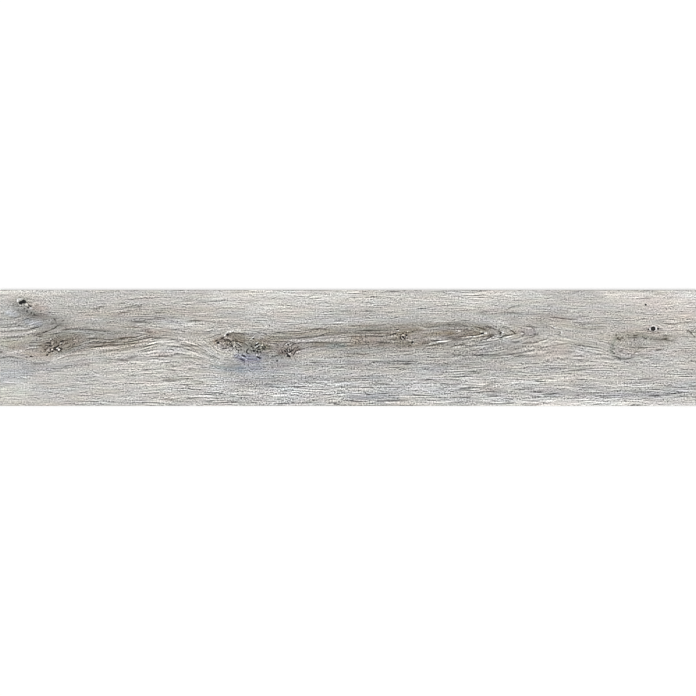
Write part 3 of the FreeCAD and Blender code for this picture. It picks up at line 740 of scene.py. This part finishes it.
    (-0.21, 1, [(500, -53), (524, -52.5)]),
]

# Small knots, pin holes and specks: (x, y, half length, half width, turn in degrees, core, halo, middle)
SPOTS = [
    (-563.9, 78.0, 3.8, 3.1, 15, 1.0, 0.0, 0.0),
    (-558.6, 80.0, 3.6, 3.7, 10, 1.0, 0.0, 0.0),
    (-207.7, 22.9, 2.5, 2.3, 0, 1.0, 0.0, 0.0),
    (-223.7, 9.1, 2.5, 2.3, 0, 1.0, 0.3, 0.0),
    (-162.3, -5.0, 2.3, 2.1, 0, 1.0, 0.2, 0.0),
    (-156.2, -6.3, 2.2, 1.8, 0, 1.0, 0.0, 0.0),
    (-122.0, -22.0, 2.0, 1.6, 0, 0.65, 0.0, 0.0),
    (-103.0, 5.5, 2.0, 1.7, 0, 0.85, 0.3, 0.0),
    (-104.2, -13.5, 1.9, 1.7, 0, 0.95, 0.0, 0.0),
    (-101.0, -14.2, 2.8, 1.9, -45, 1.0, 0.0, 0.0),
    (-105.2, -10.0, 1.9, 1.7, 0, 0.9, 0.0, 0.0),
    (94.7, 18.8, 2.5, 2.0, -50, 1.0, 0.3, 0.0),
    (100.8, 21.9, 1.9, 1.7, 0, 0.95, 0.0, 0.0),
    (110.8, 9.9, 2.2, 1.8, 0, 1.0, 0.0, 0.0),
    (231.2, 25.0, 3.2, 1.8, 8, 1.0, 0.0, 0.0),
    (525.9, 33.2, 4.1, 4.1, 0, 1.0, 0.75, 0.5),
    (534.3, 33.3, 1.9, 1.8, 0, 1.0, 0.0, 0.0),
    (517.8, 32.0, 1.9, 1.7, 0, 0.75, 0.0, 0.0),
    (513.0, 74.5, 2.1, 2.0, 0, 1.0, 0.4, 0.0),
]
SPOT_LAYERS = 3
SPOT_REACH = 2.8

# Where fine specks show as well as fibres: (x, y, reach along, reach across, strength)
SPECKLED = [
    (-530, 78, 60, 20, 0.8),
    (-505, 2, 20, 16, 1.6),
    (-205, 5, 26, 14, 1.4),
    (-152, 2, 16, 12, 1.4),
    (-102, -3, 16, 14, 1.6),
    (28, 12, 22, 10, 0.8),
    (95, 19, 14, 9, 0.7),
    (482, 12, 30, 14, 0.8),
    (592, 30, 14, 12, 1.0),
    (-170, -45, 40, 26, 0.6),
]

# Where the grain is bolder than elsewhere: (x, y, reach along, reach across, gain)
BOLD = [
    (-440, 8, 90, 22, 0.3),
    (-170, 0, 90, 30, 0.3),
    (0, 8, 110, 30, 0.3),
    (190, 18, 90, 30, 0.4),
    (-150, -80, 130, 24, 0.6),
    (0, -80, 110, 24, 0.4),
    (240, -80, 90, 22, 0.25),
    (530, -80, 80, 20, 0.4),
    (-380, 70, 60, 25, 0.3),
    (60, -30, 150, 25, 0.2),
    (-250, 92, 260, 30, -0.2),
    (430, 92, 200, 35, -0.2),
    (-560, -80, 90, 40, -0.25),
    (322, 28, 18, 9, -0.4),
    (355, 4, 40, 14, -0.3),
]

# Where long strands stand out: (x, y, reach along, reach across, gain)
STREAKED = [
    (280, -80, 260, 45, 0.45),
    (-200, -85, 150, 30, 0.25),
    (-340, 5, 70, 40, 0.3),
    (-50, 30, 70, 25, 0.25),
    (-500, 75, 120, 30, -0.3),
    (450, 60, 160, 30, -0.2),
]


def lattice_noise(u, v, seed):
    """Smooth noise from -1 to 1 over a unit lattice."""
    columns = np.floor(u).astype(int)
    rows = np.floor(v).astype(int)
    left = columns.min()
    bottom = rows.min()
    size = (columns.max() - left + 2, rows.max() - bottom + 2)
    table = np.random.default_rng(seed).uniform(-1, 1, size)
    i = columns - left
    j = rows - bottom
    across = u - columns
    up = v - rows
    across = across * across * (3 - 2 * across)
    up = up * up * (3 - 2 * up)
    low = table[i, j] + (table[i + 1, j] - table[i, j]) * across
    high = table[i, j + 1] + (table[i + 1, j + 1] - table[i, j + 1]) * across
    return low + (high - low) * up


def layered_noise(along, across, layers):
    """Sum of noises, each given as (strength, length, width, seed)."""
    total = 0
    for strength, length, width, seed in layers:
        total = total + strength * lattice_noise(along / length, across / width, seed)
    return total


def bell(x, y, feature):
    """Soft round patch of a feature that starts (x, y, reach along, reach across)."""
    return np.exp(-((x - feature[0]) / feature[2]) ** 2 - ((y - feature[1]) / feature[3]) ** 2)


def patches(x, y, features):
    """Sum of soft round patches, each given as (x, y, reach along, reach across, strength)."""
    return sum(feature[4] * bell(x, y, feature) for feature in features)


def grid_places(half, stretches, wide_step, borders=()):
    """Places of the grid's lines from -half to half, with one on each border."""
    edges = {-half, half, *borders}
    for start, end, _ in stretches:
        edges |= {start, end}
    edges = sorted(edges)
    places = [edges[0]]
    for start, end in zip(edges, edges[1:]):
        middle = (start + end) / 2
        step = min([s for low, high, s in stretches if low <= middle <= high], default=wide_step)
        count = math.ceil((end - start) / step)
        places += list(np.linspace(start, end, count + 1)[1:])
    return np.array(places)


def smooth_path(points, pieces=5):
    """A Catmull-Rom curve through the points, as short straight pieces."""
    points = np.array(points, float)
    ends = np.vstack([2 * points[0] - points[1], points, 2 * points[-1] - points[-2]])
    path = []
    for a, b, c, d in zip(ends, ends[1:], ends[2:], ends[3:]):
        for t in np.arange(pieces) / pieces:
            path.append(b + 0.5 * t * (c - a + t * (2 * a - 5 * b + 4 * c - d + t * (3 * (b - c) + d - a))))
    return np.array(path + [points[-1]])


class Face:
    """The wood of the face, worked out at the corners of its grid."""

    def __init__(self):
        borders = [LENGTH * (k / STRIPS - 0.5) for k in range(1, STRIPS)]
        self.xs = grid_places(HALF_X, CLOSE_COLUMNS, WIDE_COLUMN, borders)
        self.ys = grid_places(HALF_Y, CLOSE_ROWS, WIDE_ROW)
        self.x, self.y = np.meshgrid(self.xs, self.ys, indexing="ij")
        self.shape = self.x.shape
        self.grain, self.plain = self.flow()
        self.incised = np.zeros(self.shape)
        self.print = np.empty(self.shape + (3,))
        self.print[:] = GROUND
        self.paint_bands()
        self.paint_lines()
        self.print = np.clip(self.print, *PRINT_RANGE)
        self.spots = [self.spot_layer(layer) for layer in range(SPOT_LAYERS)]
        self.speckle = patches(self.x, self.y, SPECKLED)
        self.bold = 1 + patches(self.x, self.y, BOLD)
        self.streak = 1 + patches(self.x, self.y, STREAKED)
        self.furrow = np.clip(FURROW_MEAN + layered_noise(self.x, self.grain, FURROWS), 0, 1)

    def flow(self):
        """Place across the grain, from the heart outward, and how far its threads show, from 0 in the heart.

        A line of equal place is a line of the grain.
        """
        x, y = self.x, self.y
        across = y + layered_noise(x, y, WAVES) - patches(x, y, BENDS)
        for eye in EYES:
            across = across - eye[4] * (y - eye[1]) * bell(x, y, eye)
        heart = smooth_path(HEART)
        middle = np.interp(x, heart[:, 0], heart[:, 1])
        opening = np.interp(x, heart[:, 0], heart[:, 2])
        pull = np.exp(-(((across - middle) / HEART_PULL) ** 2))
        off = across - HEART_LEVEL - (middle - HEART_LEVEL) * pull
        off = np.hypot(off, HEART_ROUNDING)
        plain = 1 - np.exp(-((off / HEART_FADE) ** 2))
        return off - opening * np.exp(-((off / HEART_REACH) ** 2)), plain

    def near(self, path, edge):
        """Part of the grid that a path of (x, y, half width) reaches, and how near its places are to it."""
        reach = PATH_REACH * path[:, 2].max()
        low = path.min(0) - reach
        high = path.max(0) + reach
        columns = slice(*np.searchsorted(self.xs, (low[0], high[0])))
        rows = slice(*np.searchsorted(self.ys, (low[1], high[1])))
        x, y = self.x[columns, rows], self.y[columns, rows]
        nearest = np.full(x.shape, np.inf)
        for (x0, y0, w0), (x1, y1, w1) in zip(path, path[1:]):
            dx, dy = x1 - x0, y1 - y0
            t = np.clip(((x - x0) * dx + (y - y0) * dy) / (dx * dx + dy * dy), 0, 1)
            width = w0 + (w1 - w0) * t
            nearest = np.minimum(nearest, ((x - x0 - t * dx) ** 2 + (y - y0 - t * dy) ** 2) / width**2)
        return (columns, rows), np.exp(-(nearest**edge))

    def paint_bands(self):
        """Broad tones, ragged along the grain."""
        ragged = 1 + layered_noise(self.x, self.grain, BAND_RAGS)
        for change, *paths in BANDS:
            for points in paths:
                part, strength = self.near(smooth_path(points), BAND_EDGE)
                self.print[part] += (strength * ragged[part])[..., None] * np.array(change)

    def paint_lines(self):
        """Lines with thin ends, broken along their length. The dark ones are pressed in."""
        broken = LINE_MEAN + layered_noise(self.x, self.y, LINE_BREAKS)
        for tone, half_width, *paths in LINES:
            for points in paths:
                path = smooth_path([(x, y, half_width) for x, y in points])
                along = np.linspace(0, 1, len(path))
                full = np.minimum(np.minimum(along, 1 - along) / LINE_TAPER, 1)
                path[:, 2] *= LINE_TIP + (1 - LINE_TIP) * full
                part, strength = self.near(path, LINE_EDGE)
                self.print[part] += (tone * strength * broken[part])[..., None]
                self.incised[part] = np.maximum(self.incised[part], -tone * LINE_PRESS * strength)

    def spot_layer(self, layer):
        """Place in the nearest spot of a layer, in half sizes, and that spot's (core, halo, middle)."""
        place = np.zeros(self.shape + (3,))
        look = np.zeros(self.shape + (3,))
        nearest = np.full(self.shape, np.inf)
        for x, y, half_length, half_width, turn, core, halo, middle in SPOTS[layer::SPOT_LAYERS]:
            c, s = math.cos(math.radians(turn)), math.sin(math.radians(turn))
            along = ((self.x - x) * c + (self.y - y) * s) / half_length
            across = ((self.y - y) * c - (self.x - x) * s) / half_width
            distance = np.hypot(along, across)
            mine = distance < nearest
            nearest[mine] = distance[mine]
            place[mine] = np.stack([along, across, np.full(self.shape, x)], -1)[mine]
            look[mine] = np.array([core, halo, middle]) * (distance[mine] < SPOT_REACH)[:, None]
            self.incised = np.maximum(self.incised, core * SPOT_DEPTH / LINE_DEPTH * np.exp(-(distance**2)))
        return place, look

    def heights(self):
        """Height of the relief, at or below the top of the solid."""
        incised = np.minimum(self.incised, INCISED_MOST)
        return HIGH[2] - FURROW_DEPTH * self.furrow - LINE_DEPTH * incised


def welded(place):
    """A place in millimetres, rounded so that corners which meet are one."""
    return tuple(round(c, WELD_DIGITS) for c in place)


def back_of_solid(first):
    """Corners and faces of the keyed back, as in the solid, with corners that meet made one."""
    corners = {}
    faces = []
    for polygon in SOLID.polygons:
        places = [welded(c / MM for c in SOLID.vertices[v].co) for v in polygon.vertices]
        if max(p[2] for p in places) < THICKNESS / 2:
            faces.append([corners.setdefault(p, first + len(corners)) for p in places])
    return corners, faces


def plank(face):
    """The whole tile as one closed mesh, and how many of its faces are on the face and on the edges.

    Its faces come in this order: relief face, bevel, four walls and the keyed back.
    """
    columns, rows = face.shape
    index = np.arange(columns * rows).reshape(columns, rows)
    points = np.stack([face.x, face.y, face.heights()], -1).reshape(-1, 3)
    quads = np.stack([index[:-1, :-1], index[1:, :-1], index[1:, 1:], index[:-1, 1:]], -1).reshape(-1, 4)

    rim = np.concatenate([index[:, 0], index[-1, 1:], index[-2::-1, -1], index[0, -2:0:-1]])
    ring = points[rim]
    ring[:, 0] *= np.where(np.isclose(np.abs(ring[:, 0]), HALF_X), (LENGTH / 2) / HALF_X, 1)
    ring[:, 1] *= np.where(np.isclose(np.abs(ring[:, 1]), HALF_Y), (WIDTH / 2) / HALF_Y, 1)
    ring[:, 2] = WALL_TOP
    outer = len(points) + np.arange(len(rim))
    bevel = np.stack([rim, outer, np.roll(outer, -1), np.roll(rim, -1)], -1)

    corners, back = back_of_solid(len(points) + len(ring))
    points = np.vstack([points, ring, list(corners)])
    outline = ((LOW[0], LOW[1]), (HIGH[0], LOW[1]), (HIGH[0], HIGH[1]), (LOW[0], HIGH[1]))
    foot = [corners[welded((x, y, 0))] for x, y in outline]
    turns = [0, columns - 1, columns + rows - 2, 2 * columns + rows - 3, len(rim)]
    walls = []
    for side in range(WALLS):
        along = [outer[k % len(rim)] for k in range(turns[side], turns[side + 1] + 1)]
        walls.append([foot[side], foot[(side + 1) % WALLS], *along[::-1]])

    mesh = bpy.data.meshes.new("wood_look_plank")
    mesh.from_pydata(points * MM, [], quads.tolist() + bevel.tolist() + walls + back)
    mesh.update()
    return mesh, len(quads), len(bevel) + len(walls)


def store(mesh, name, *layers):
    """Up to three values for each corner of the face's grid, as a named vector of the mesh."""
    vectors = np.zeros((len(mesh.vertices), 3), np.float32)
    for k, layer in enumerate(layers):
        vectors[: layer.size, k] = layer.ravel()
    mesh.attributes.new(name, "FLOAT_VECTOR", "POINT").data.foreach_set("vector", vectors.ravel())


# Layout of the bake map: millimetres of face on a square sheet, and the scale of the back and walls there
SHEET = 612.0
SHEET_GAP = 3.0
BESIDE_SCALE = 0.5


def lay_out_bake_map(mesh, face_count, edge_count):
    """The face and bevel in strips, two by two, with the back and walls above them at a smaller scale."""
    corner = np.empty(len(mesh.loops), np.int32)
    mesh.loops.foreach_get("vertex_index", corner)
    place = np.empty(len(mesh.vertices) * 3, np.float32)
    mesh.vertices.foreach_get("co", place)
    place = place.reshape(-1, 3)[corner] / MM - LOW
    sheet = np.empty((len(mesh.loops), 2))
    strip_length = LENGTH / STRIPS
    above = 2 * (WIDTH + SHEET_GAP)
    above_back = above + BESIDE_SCALE * WIDTH + SHEET_GAP
    first_wall = face_count + edge_count - WALLS
    for polygon in mesh.polygons:
        part = slice(polygon.loop_start, polygon.loop_start + polygon.loop_total)
        x, y, z = place[part].T
        wall = polygon.index - first_wall
        if wall < 0:
            strip = min(int(x.mean() / strip_length), STRIPS - 1)
            u = x - strip * strip_length + (strip % 2) * (strip_length + SHEET_GAP)
            v = y + (strip // 2) * (WIDTH + SHEET_GAP)
        elif wall < WALLS:
            u = BESIDE_SCALE * (x if wall % 2 == 0 else y)
            v = above_back + wall * (THICKNESS + SHEET_GAP) + BESIDE_SCALE * z
        else:
            u = BESIDE_SCALE * x
            v = above + BESIDE_SCALE * y
        sheet[part] = np.stack([u, v], -1)
    sheet = (sheet + SHEET_GAP) / SHEET
    mesh.uv_layers.new(name="OFBake").data.foreach_set("uv", sheet.astype(np.float32).ravel())


class Wire:
    """A value in a node tree. Arithmetic on it adds the nodes that work it out."""

    def __init__(self, graph, socket):
        self.graph = graph
        self.socket = socket

    def __add__(self, other):
        return self.graph.math("ADD", self, other)

    def __sub__(self, other):
        return self.graph.math("SUBTRACT", self, other)

    def __rsub__(self, other):
        return self.graph.math("SUBTRACT", other, self)

    def __mul__(self, other):
        return self.graph.math("MULTIPLY", self, other)

    def at_least(self, other):
        return self.graph.math("MAXIMUM", self, other)

    def at_most(self, other):
        return self.graph.math("MINIMUM", self, other)

    def size(self):
        return self.graph.math("ABSOLUTE", self)

    def ramp(self, slope, start):
        """A straight slope, held between 0 and 1."""
        return self.graph.math("MULTIPLY_ADD", self, slope, start, clamp=True)

    def length(self):
        return Wire(self.graph, self.graph.add("VectorMath", self, operation="LENGTH").outputs["Value"])

    def split(self):
        return [Wire(self.graph, socket) for socket in self.graph.add("SeparateXYZ", self).outputs]


def is_vector(value):
    return isinstance(value, tuple) or isinstance(value, Wire) and value.socket.type != "VALUE"


class Graph:
    """Short calls for the nodes of one tree."""

    def __init__(self, tree):
        self.tree = tree

    def add(self, kind, *values, **settings):
        node = self.tree.nodes.new("ShaderNode" + kind)
        for name, value in settings.items():
            setattr(node, name, value)
        for socket, value in zip(node.inputs, values):
            self.put(socket, value)
        return node

    def put(self, socket, value):
        if isinstance(value, Wire):
            self.tree.links.new(value.socket, socket)
        else:
            socket.default_value = value

    def math(self, operation, *values, clamp=False):
        """One step of arithmetic, on vectors if one of the values is a vector."""
        if any(is_vector(value) for value in values):
            return Wire(self, self.add("VectorMath", *values, operation=operation).outputs["Vector"])
        return Wire(self, self.add("Math", *values, operation=operation, use_clamp=clamp).outputs["Value"])

    def attribute(self, name):
        return Wire(self, self.add("Attribute", attribute_name=name).outputs["Vector"])

    def combine(self, x, y):
        return Wire(self, self.add("CombineXYZ", x, y, 0).outputs["Vector"])

    def millimetres(self):
        """Place on the piece."""
        return Wire(self, self.add("TexCoord").outputs["Object"]) * (1 / MM, 1 / MM, 1 / MM)

    def noise(self, place, cell, seed, detail, roughness=0.5):
        """Noise about 0, at most 0.5 either way, with cells of that size in the units of place."""
        flat = len(cell) == 2
        scale = (1 / cell[0], 1 / cell[1], 0 if flat else 1 / cell[2])
        node = self.add("TexNoise", noise_dimensions="2D" if flat else "3D")
        self.put(node.inputs["Vector"], place * scale + (seed, seed, 0))
        self.put(node.inputs["Scale"], 1.0)
        self.put(node.inputs["Detail"], detail)
        self.put(node.inputs["Roughness"], roughness)
        return Wire(self, node.outputs["Fac"]) - 0.5

    def white_to_camera(self):
        """1 for rays that see the stage, in glass or gloss too, and 0 for rays that light the tile."""
        path = self.add("LightPath").outputs
        seen = Wire(self, path["Is Camera Ray"])
        for name in ("Is Glossy Ray", "Is Transmission Ray"):
            seen = seen.at_least(Wire(self, path[name]))
        return seen


class Finish(Graph):
    """The nodes of one material."""

    def __init__(self, name):
        self.material = bpy.data.materials.new(name)
        self.material.use_nodes = True
        super().__init__(self.material.node_tree)

    def shade(self, name, value):
        self.put(self.tree.nodes["Principled BSDF"].inputs[name], value)

    def dress(self, level, roughness, height, depth, share=None):
        """The material, from display levels, the share of light that shows, and a height from 0 to 1."""
        colour = Wire(self, self.add("Gamma", level, DISPLAY_GAMMA).outputs["Color"])
        self.shade("Base Color", colour if share is None else colour * share)
        self.shade("Roughness", roughness)
        bump = self.add("Bump")
        self.put(bump.inputs["Distance"], depth * MM)
        self.put(bump.inputs["Height"], height)
        self.shade("Normal", Wire(self, bump.outputs["Normal"]))
        return self.material


# Noises of the finishes: (size of a cell in millimetres, seed, detail, roughness where it isn't a half)
SWAY_NOISE = ((26, 8), 3, 1)
FIBRE_NOISE = ((5.5, 1.9, 40), 11, 0)
STRAND_NOISE = ((26, 2.0, 40), 23, 0)
DASH_NOISE = ((24, 2.0, 40), 47, 0)
GRIT_NOISE = ((2.4, 2.0), 37, 0)
UNEVEN_NOISE = ((60, 7), 57, 1)
PATCHY_NOISE = ((30, 8), 67, 1)
WARMTH_NOISE = ((70, 20), 59, 2)
TINT_NOISE = ((34, 13), 61, 2)
GRINDING_NOISE = ((60, 0.35), 3, 3, 0.6)
BODY_NOISE = ((0.8, 0.8), 7, 3, 0.7)
BACK_NOISE = ((0.9, 0.9), 13, 3, 0.7)
CLOUD_NOISE = ((70, 45), 17, 4)
WASH_NOISE = ((160, 5), 19, 3)
DISPLAY_GAMMA = 2.2

# Spots: a ragged outline, and ramps of (slope, start) over the distance from the middle, in half sizes
SPOT_CELL = (1.3, 1.3)
SPOT_SEED = 5
SPOT_DETAIL = 2
SPOT_RAGGED = 0.5
CORE_RAMP = (-3.0, 3.4)
MIDDLE_RAMP = (-3.0, 1.3)
HALO_RADIUS = 1.25
HALO_RAMP = (-4.5, 1.0)


def spot_marks(graph, layer):
    """Dark core with a paler middle, and light halo, of one layer of spots."""
    place = graph.attribute(f"spot_{layer}")
    core, halo, middle = graph.attribute(f"spot_look_{layer}").split()
    ragged = graph.noise(place, SPOT_CELL, SPOT_SEED + layer, SPOT_DETAIL)
    distance = ragged * SPOT_RAGGED + (place * (1, 1, 0)).length()
    inside = (distance.ramp(*CORE_RAMP) - distance.ramp(*MIDDLE_RAMP) * middle).at_least(0)
    around = (distance - HALO_RADIUS).size().ramp(*HALO_RAMP)
    return inside * core, around * halo


# Printed glaze: strengths of its marks, as shares of the light that shows. The fibres and strands carry a
# painted highlight and painted shade of the relief as well as their print, and the furrows a painted shade
SWAY = 1.4
# How far across the grain, in millimetres, each fibre's painted highlight lies from its painted shade
PAINTED_RELIEF_LIGHT_APART = 1.5
FIBRE_AND_PAINTED_LIGHT_GAIN = 0.8
DASH_START = 0.20
DASH_GAIN = 4.0
SPECKLE_CALM = 0.6
SPECKLE_GRIT = 0.9
GRIT_GAIN = 1.3
UNEVEN_GAIN = 4.5
UNEVEN_MEAN = 1.1
UNEVEN_LEAST = 0.2
PATCHY_GAIN = 2.0
PATCHY_MEAN = 0.96
PATCHY_LEAST = 0.4
FURROW_SHADE = 0.08
SHARE_LEAST = 0.06
SHARE_MOST = 1.9

# Printed glaze: drifting tints, light and dark of the spots in display levels, and its surface
WARM_COLOUR = (0.042, 0.003, -0.042)
TINT_COLOUR = (-0.013, 0.019, -0.013)
HALO_LIGHT = 0.45
HALO_MOST = (0.95, 0.95, 0.95)
CORE_DARK = 0.97
GLAZE_ROUGHNESS = 0.58
FIBRE_ROUGHNESS = 0.3
FURROW_ROUGHNESS = 0.12
GLAZE_SPECULAR = 0.18
GLAZE_BUMP = 0.12
BUMP_SHARE = 0.5


def fibres_with_painted_relief_light(graph, place, noise):
    """Fibres as light and dark pairs, partly print and partly a painted highlight and painted shade of the
    relief: noise less the same noise a little further across the grain.
    """
    return graph.noise(place, *noise) - graph.noise(place + (0, PAINTED_RELIEF_LIGHT_APART, 0), *noise)


def printed_glaze():
    """Matt glaze over printed wood: fibres with a painted highlight and shade of the relief, open pores,
    specks, a painted shade in the furrows and drifting tints along the grain.
    """
    graph = Finish("printed_glaze")
    straight = graph.attribute("grain")
    furrow, speckle, plain = graph.attribute("relief").split()
    bold, streak, _ = graph.attribute("gain").split()
    place = straight + graph.combine(0, graph.noise(straight, *SWAY_NOISE) * SWAY)

    # Fibres and strands: printed grain plus a painted highlight and painted shade of the relief, as if lit
    # from one side
    fibre_and_painted_light = fibres_with_painted_relief_light(graph, place, FIBRE_NOISE)
    strand_and_painted_light = fibres_with_painted_relief_light(graph, place, STRAND_NOISE)
    dash = (graph.noise(place, *DASH_NOISE) - DASH_START).at_least(0)
    along, _, across = straight.split()
    grit = graph.noise(graph.combine(along, across), *GRIT_NOISE)

    calm = speckle.ramp(-SPECKLE_CALM, 1)
    uneven = (graph.noise(place, *UNEVEN_NOISE) * UNEVEN_GAIN + UNEVEN_MEAN).at_least(UNEVEN_LEAST)
    patchy = (graph.noise(place, *PATCHY_NOISE) * PATCHY_GAIN + PATCHY_MEAN).at_least(PATCHY_LEAST)
    threads_and_painted_light = fibre_and_painted_light * FIBRE_AND_PAINTED_LIGHT_GAIN * patchy + strand_and_painted_light * (uneven * streak) - dash * DASH_GAIN
    specks = (speckle * SPECKLE_GRIT + GRIT_GAIN) * patchy * grit
    tone = (threads_and_painted_light * (calm * plain) + specks) * bold
    # The relief's furrows get a painted shade in the colour, darker where they are deeper
    share = (tone - furrow * FURROW_SHADE + 1).at_least(SHARE_LEAST).at_most(SHARE_MOST)

    level = graph.attribute("print")
    level = level + graph.noise(place, *WARMTH_NOISE) * WARM_COLOUR
    level = level + graph.noise(place, *TINT_NOISE) * TINT_COLOUR
    marks = [spot_marks(graph, layer) for layer in range(SPOT_LAYERS)]
    for _, light in marks:
        level = level + light * HALO_LIGHT
    level = level.at_most(HALO_MOST)
    for dark, _ in marks:
        level = level * (1 - dark * CORE_DARK)

    roughness = fibre_and_painted_light * FIBRE_ROUGHNESS + furrow * FURROW_ROUGHNESS + GLAZE_ROUGHNESS
    graph.shade("Specular IOR Level", GLAZE_SPECULAR)
    return graph.dress(level, roughness, share * BUMP_SHARE, GLAZE_BUMP, share)


# Ground body: its colour in display levels, changes of it, and its surface
BODY_COLOUR = (0.70, 0.685, 0.66)
GRINDING_TONE = 0.10
BODY_SPECKS = 0.16
GLAZE_TONE = 0.07
GLAZE_SLOPE = 3.0
GLAZE_OVERLAP = 0.5
BODY_ROUGHNESS = 0.6
BODY_UNEVEN = 0.3
BODY_BUMP = 0.05


def ground_body():
    """Fired body on the walls and the bevel: fine specks, and lines that the grinding wheel leaves."""
    graph = Finish("ground_body")
    x, y, z = graph.millimetres().split()
    place = graph.combine(x + y, z)
    lines = graph.noise(place, *GRINDING_NOISE)
    specks = graph.noise(place, *BODY_NOISE)
    glaze = z.ramp(GLAZE_SLOPE, -GLAZE_SLOPE * (WALL_TOP - GLAZE_OVERLAP))
    level = lines * GRINDING_TONE + specks * BODY_SPECKS - glaze * GLAZE_TONE + BODY_COLOUR
    return graph.dress(level, specks * BODY_UNEVEN + BODY_ROUGHNESS, lines + 0.5, BODY_BUMP)


# Keyed back: its colour in display levels, changes of it, ramps of the wash, and its surface
BACK_COLOUR = (0.66, 0.645, 0.615)
BACK_SPECKS = 0.14
CLOUD_TONE = 0.10
WASH_TONE = 0.12
WASH_DEPTH_RAMP = (-1.3, 0.9)
WASH_STREAK_RAMP = (2.4, 0.6)
BACK_ROUGHNESS = 0.82
BACK_UNEVEN = 0.2
BACK_BUMP = 0.08


def keyed_back():
    """Unglazed back: body in the cells of the key, and a chalky wash on the ribs that the rollers touch."""
    graph = Finish("keyed_back")
    place = graph.millimetres()
    _, _, z = place.split()
    specks = graph.noise(place, *BACK_NOISE)
    cloud = graph.noise(place, *CLOUD_NOISE)
    wash = z.ramp(*WASH_DEPTH_RAMP) * graph.noise(place, *WASH_NOISE).ramp(*WASH_STREAK_RAMP)
    level = specks * BACK_SPECKS + cloud * CLOUD_TONE + wash * WASH_TONE + BACK_COLOUR
    return graph.dress(level, specks * BACK_UNEVEN + BACK_ROUGHNESS, specks + 0.5, BACK_BUMP)


def dressed_plank():
    """The one piece: mesh, finishes, bake map, and its place in the frame."""
    face = Face()
    mesh, face_count, edge_count = plank(face)
    store(mesh, "grain", face.x, face.grain, face.y)
    store(mesh, "print", *np.moveaxis(face.print, -1, 0))
    store(mesh, "relief", face.furrow, face.speckle, face.plain)
    store(mesh, "gain", face.bold, face.streak)
    for layer, (place, look) in enumerate(face.spots):
        store(mesh, f"spot_{layer}", *np.moveaxis(place, -1, 0))
        store(mesh, f"spot_look_{layer}", *np.moveaxis(look, -1, 0))
    for finish in (printed_glaze(), ground_body(), keyed_back()):
        mesh.materials.append(finish)
    faces = np.arange(len(mesh.polygons))
    finishes = np.where(faces < face_count, 0, np.where(faces < face_count + edge_count, 1, 2))
    mesh.polygons.foreach_set("material_index", finishes.astype(np.int32))
    mesh.polygons.foreach_set("use_smooth", faces < face_count)
    lay_out_bake_map(mesh, face_count, edge_count)
    piece = bpy.data.objects.new("wood_look_plank", mesh)
    bpy.context.scene.collection.objects.link(piece)
    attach(piece, "root")
    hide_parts(NODE)


# Stage: white floor, even soft light, and a camera straight above the face
FLOOR_SIZE = 12.0
FLOOR_COLOUR = (0.70, 0.70, 0.70, 1)
FLOOR_ROUGHNESS = 0.9
FLOOR_LIFT = 0.33
WHITE = (1, 1, 1, 1)
SKY_LIGHT = 0.56
SUN_LIGHT = 0.46
SUN_FROM = (-0.16, -0.22, 1.0)
SUN_SPREAD_DEG = 36.0
LENS = 120.0
SENSOR = 36.0
SEEN_SHARE = 0.9995


def floor():
    """Pale floor that keeps the tile's shadow, lifted to white where the camera sees it."""
    half = FLOOR_SIZE / 2
    corners = [(-half, -half, 0), (half, -half, 0), (half, half, 0), (-half, half, 0)]
    mesh = bpy.data.meshes.new("floor")
    mesh.from_pydata(corners, [], [(0, 1, 2, 3)])
    graph = Finish("floor_paint")
    graph.shade("Base Color", FLOOR_COLOUR)
    graph.shade("Roughness", FLOOR_ROUGHNESS)
    graph.shade("Specular IOR Level", 0.0)
    graph.shade("Emission Color", WHITE)
    graph.shade("Emission Strength", graph.white_to_camera() * FLOOR_LIFT)
    mesh.materials.append(graph.material)
    plane = bpy.data.objects.new("floor", mesh)
    bpy.context.scene.collection.objects.link(plane)


def lights():
    """A sky that looks white and lights the tile evenly, and a broad soft sun."""
    world = bpy.data.worlds.new("studio")
    world.use_nodes = True
    graph = Graph(world.node_tree)
    background = graph.tree.nodes["Background"]
    graph.put(background.inputs["Color"], WHITE)
    graph.put(background.inputs["Strength"], graph.white_to_camera() * (1 - SKY_LIGHT) + SKY_LIGHT)
    bpy.context.scene.world = world
    data = bpy.data.lights.new("softbox", "SUN")
    data.angle = math.radians(SUN_SPREAD_DEG)
    toward = np.array(SUN_FROM) / np.linalg.norm(SUN_FROM)
    data.energy = SUN_LIGHT * math.pi / toward[2]
    lamp = bpy.data.objects.new("softbox", data)
    lamp.rotation_euler = (math.acos(toward[2]), 0, math.atan2(toward[0], -toward[1]))
    bpy.context.scene.collection.objects.link(lamp)


def camera():
    """A long lens straight above the middle of the face."""
    data = bpy.data.cameras.new("photo_camera")
    data.lens = LENS
    data.sensor_width = SENSOR
    seat = bpy.data.objects.new("photo_camera", data)
    seat.location = (0, 0, (HIGH[2] + SEEN_SHARE * LENGTH * LENS / SENSOR) * MM)
    bpy.context.scene.collection.objects.link(seat)
    bpy.context.scene.camera = seat


dressed_plank()
floor()
lights()
camera()
bpy.context.scene.view_settings.view_transform = "Standard"
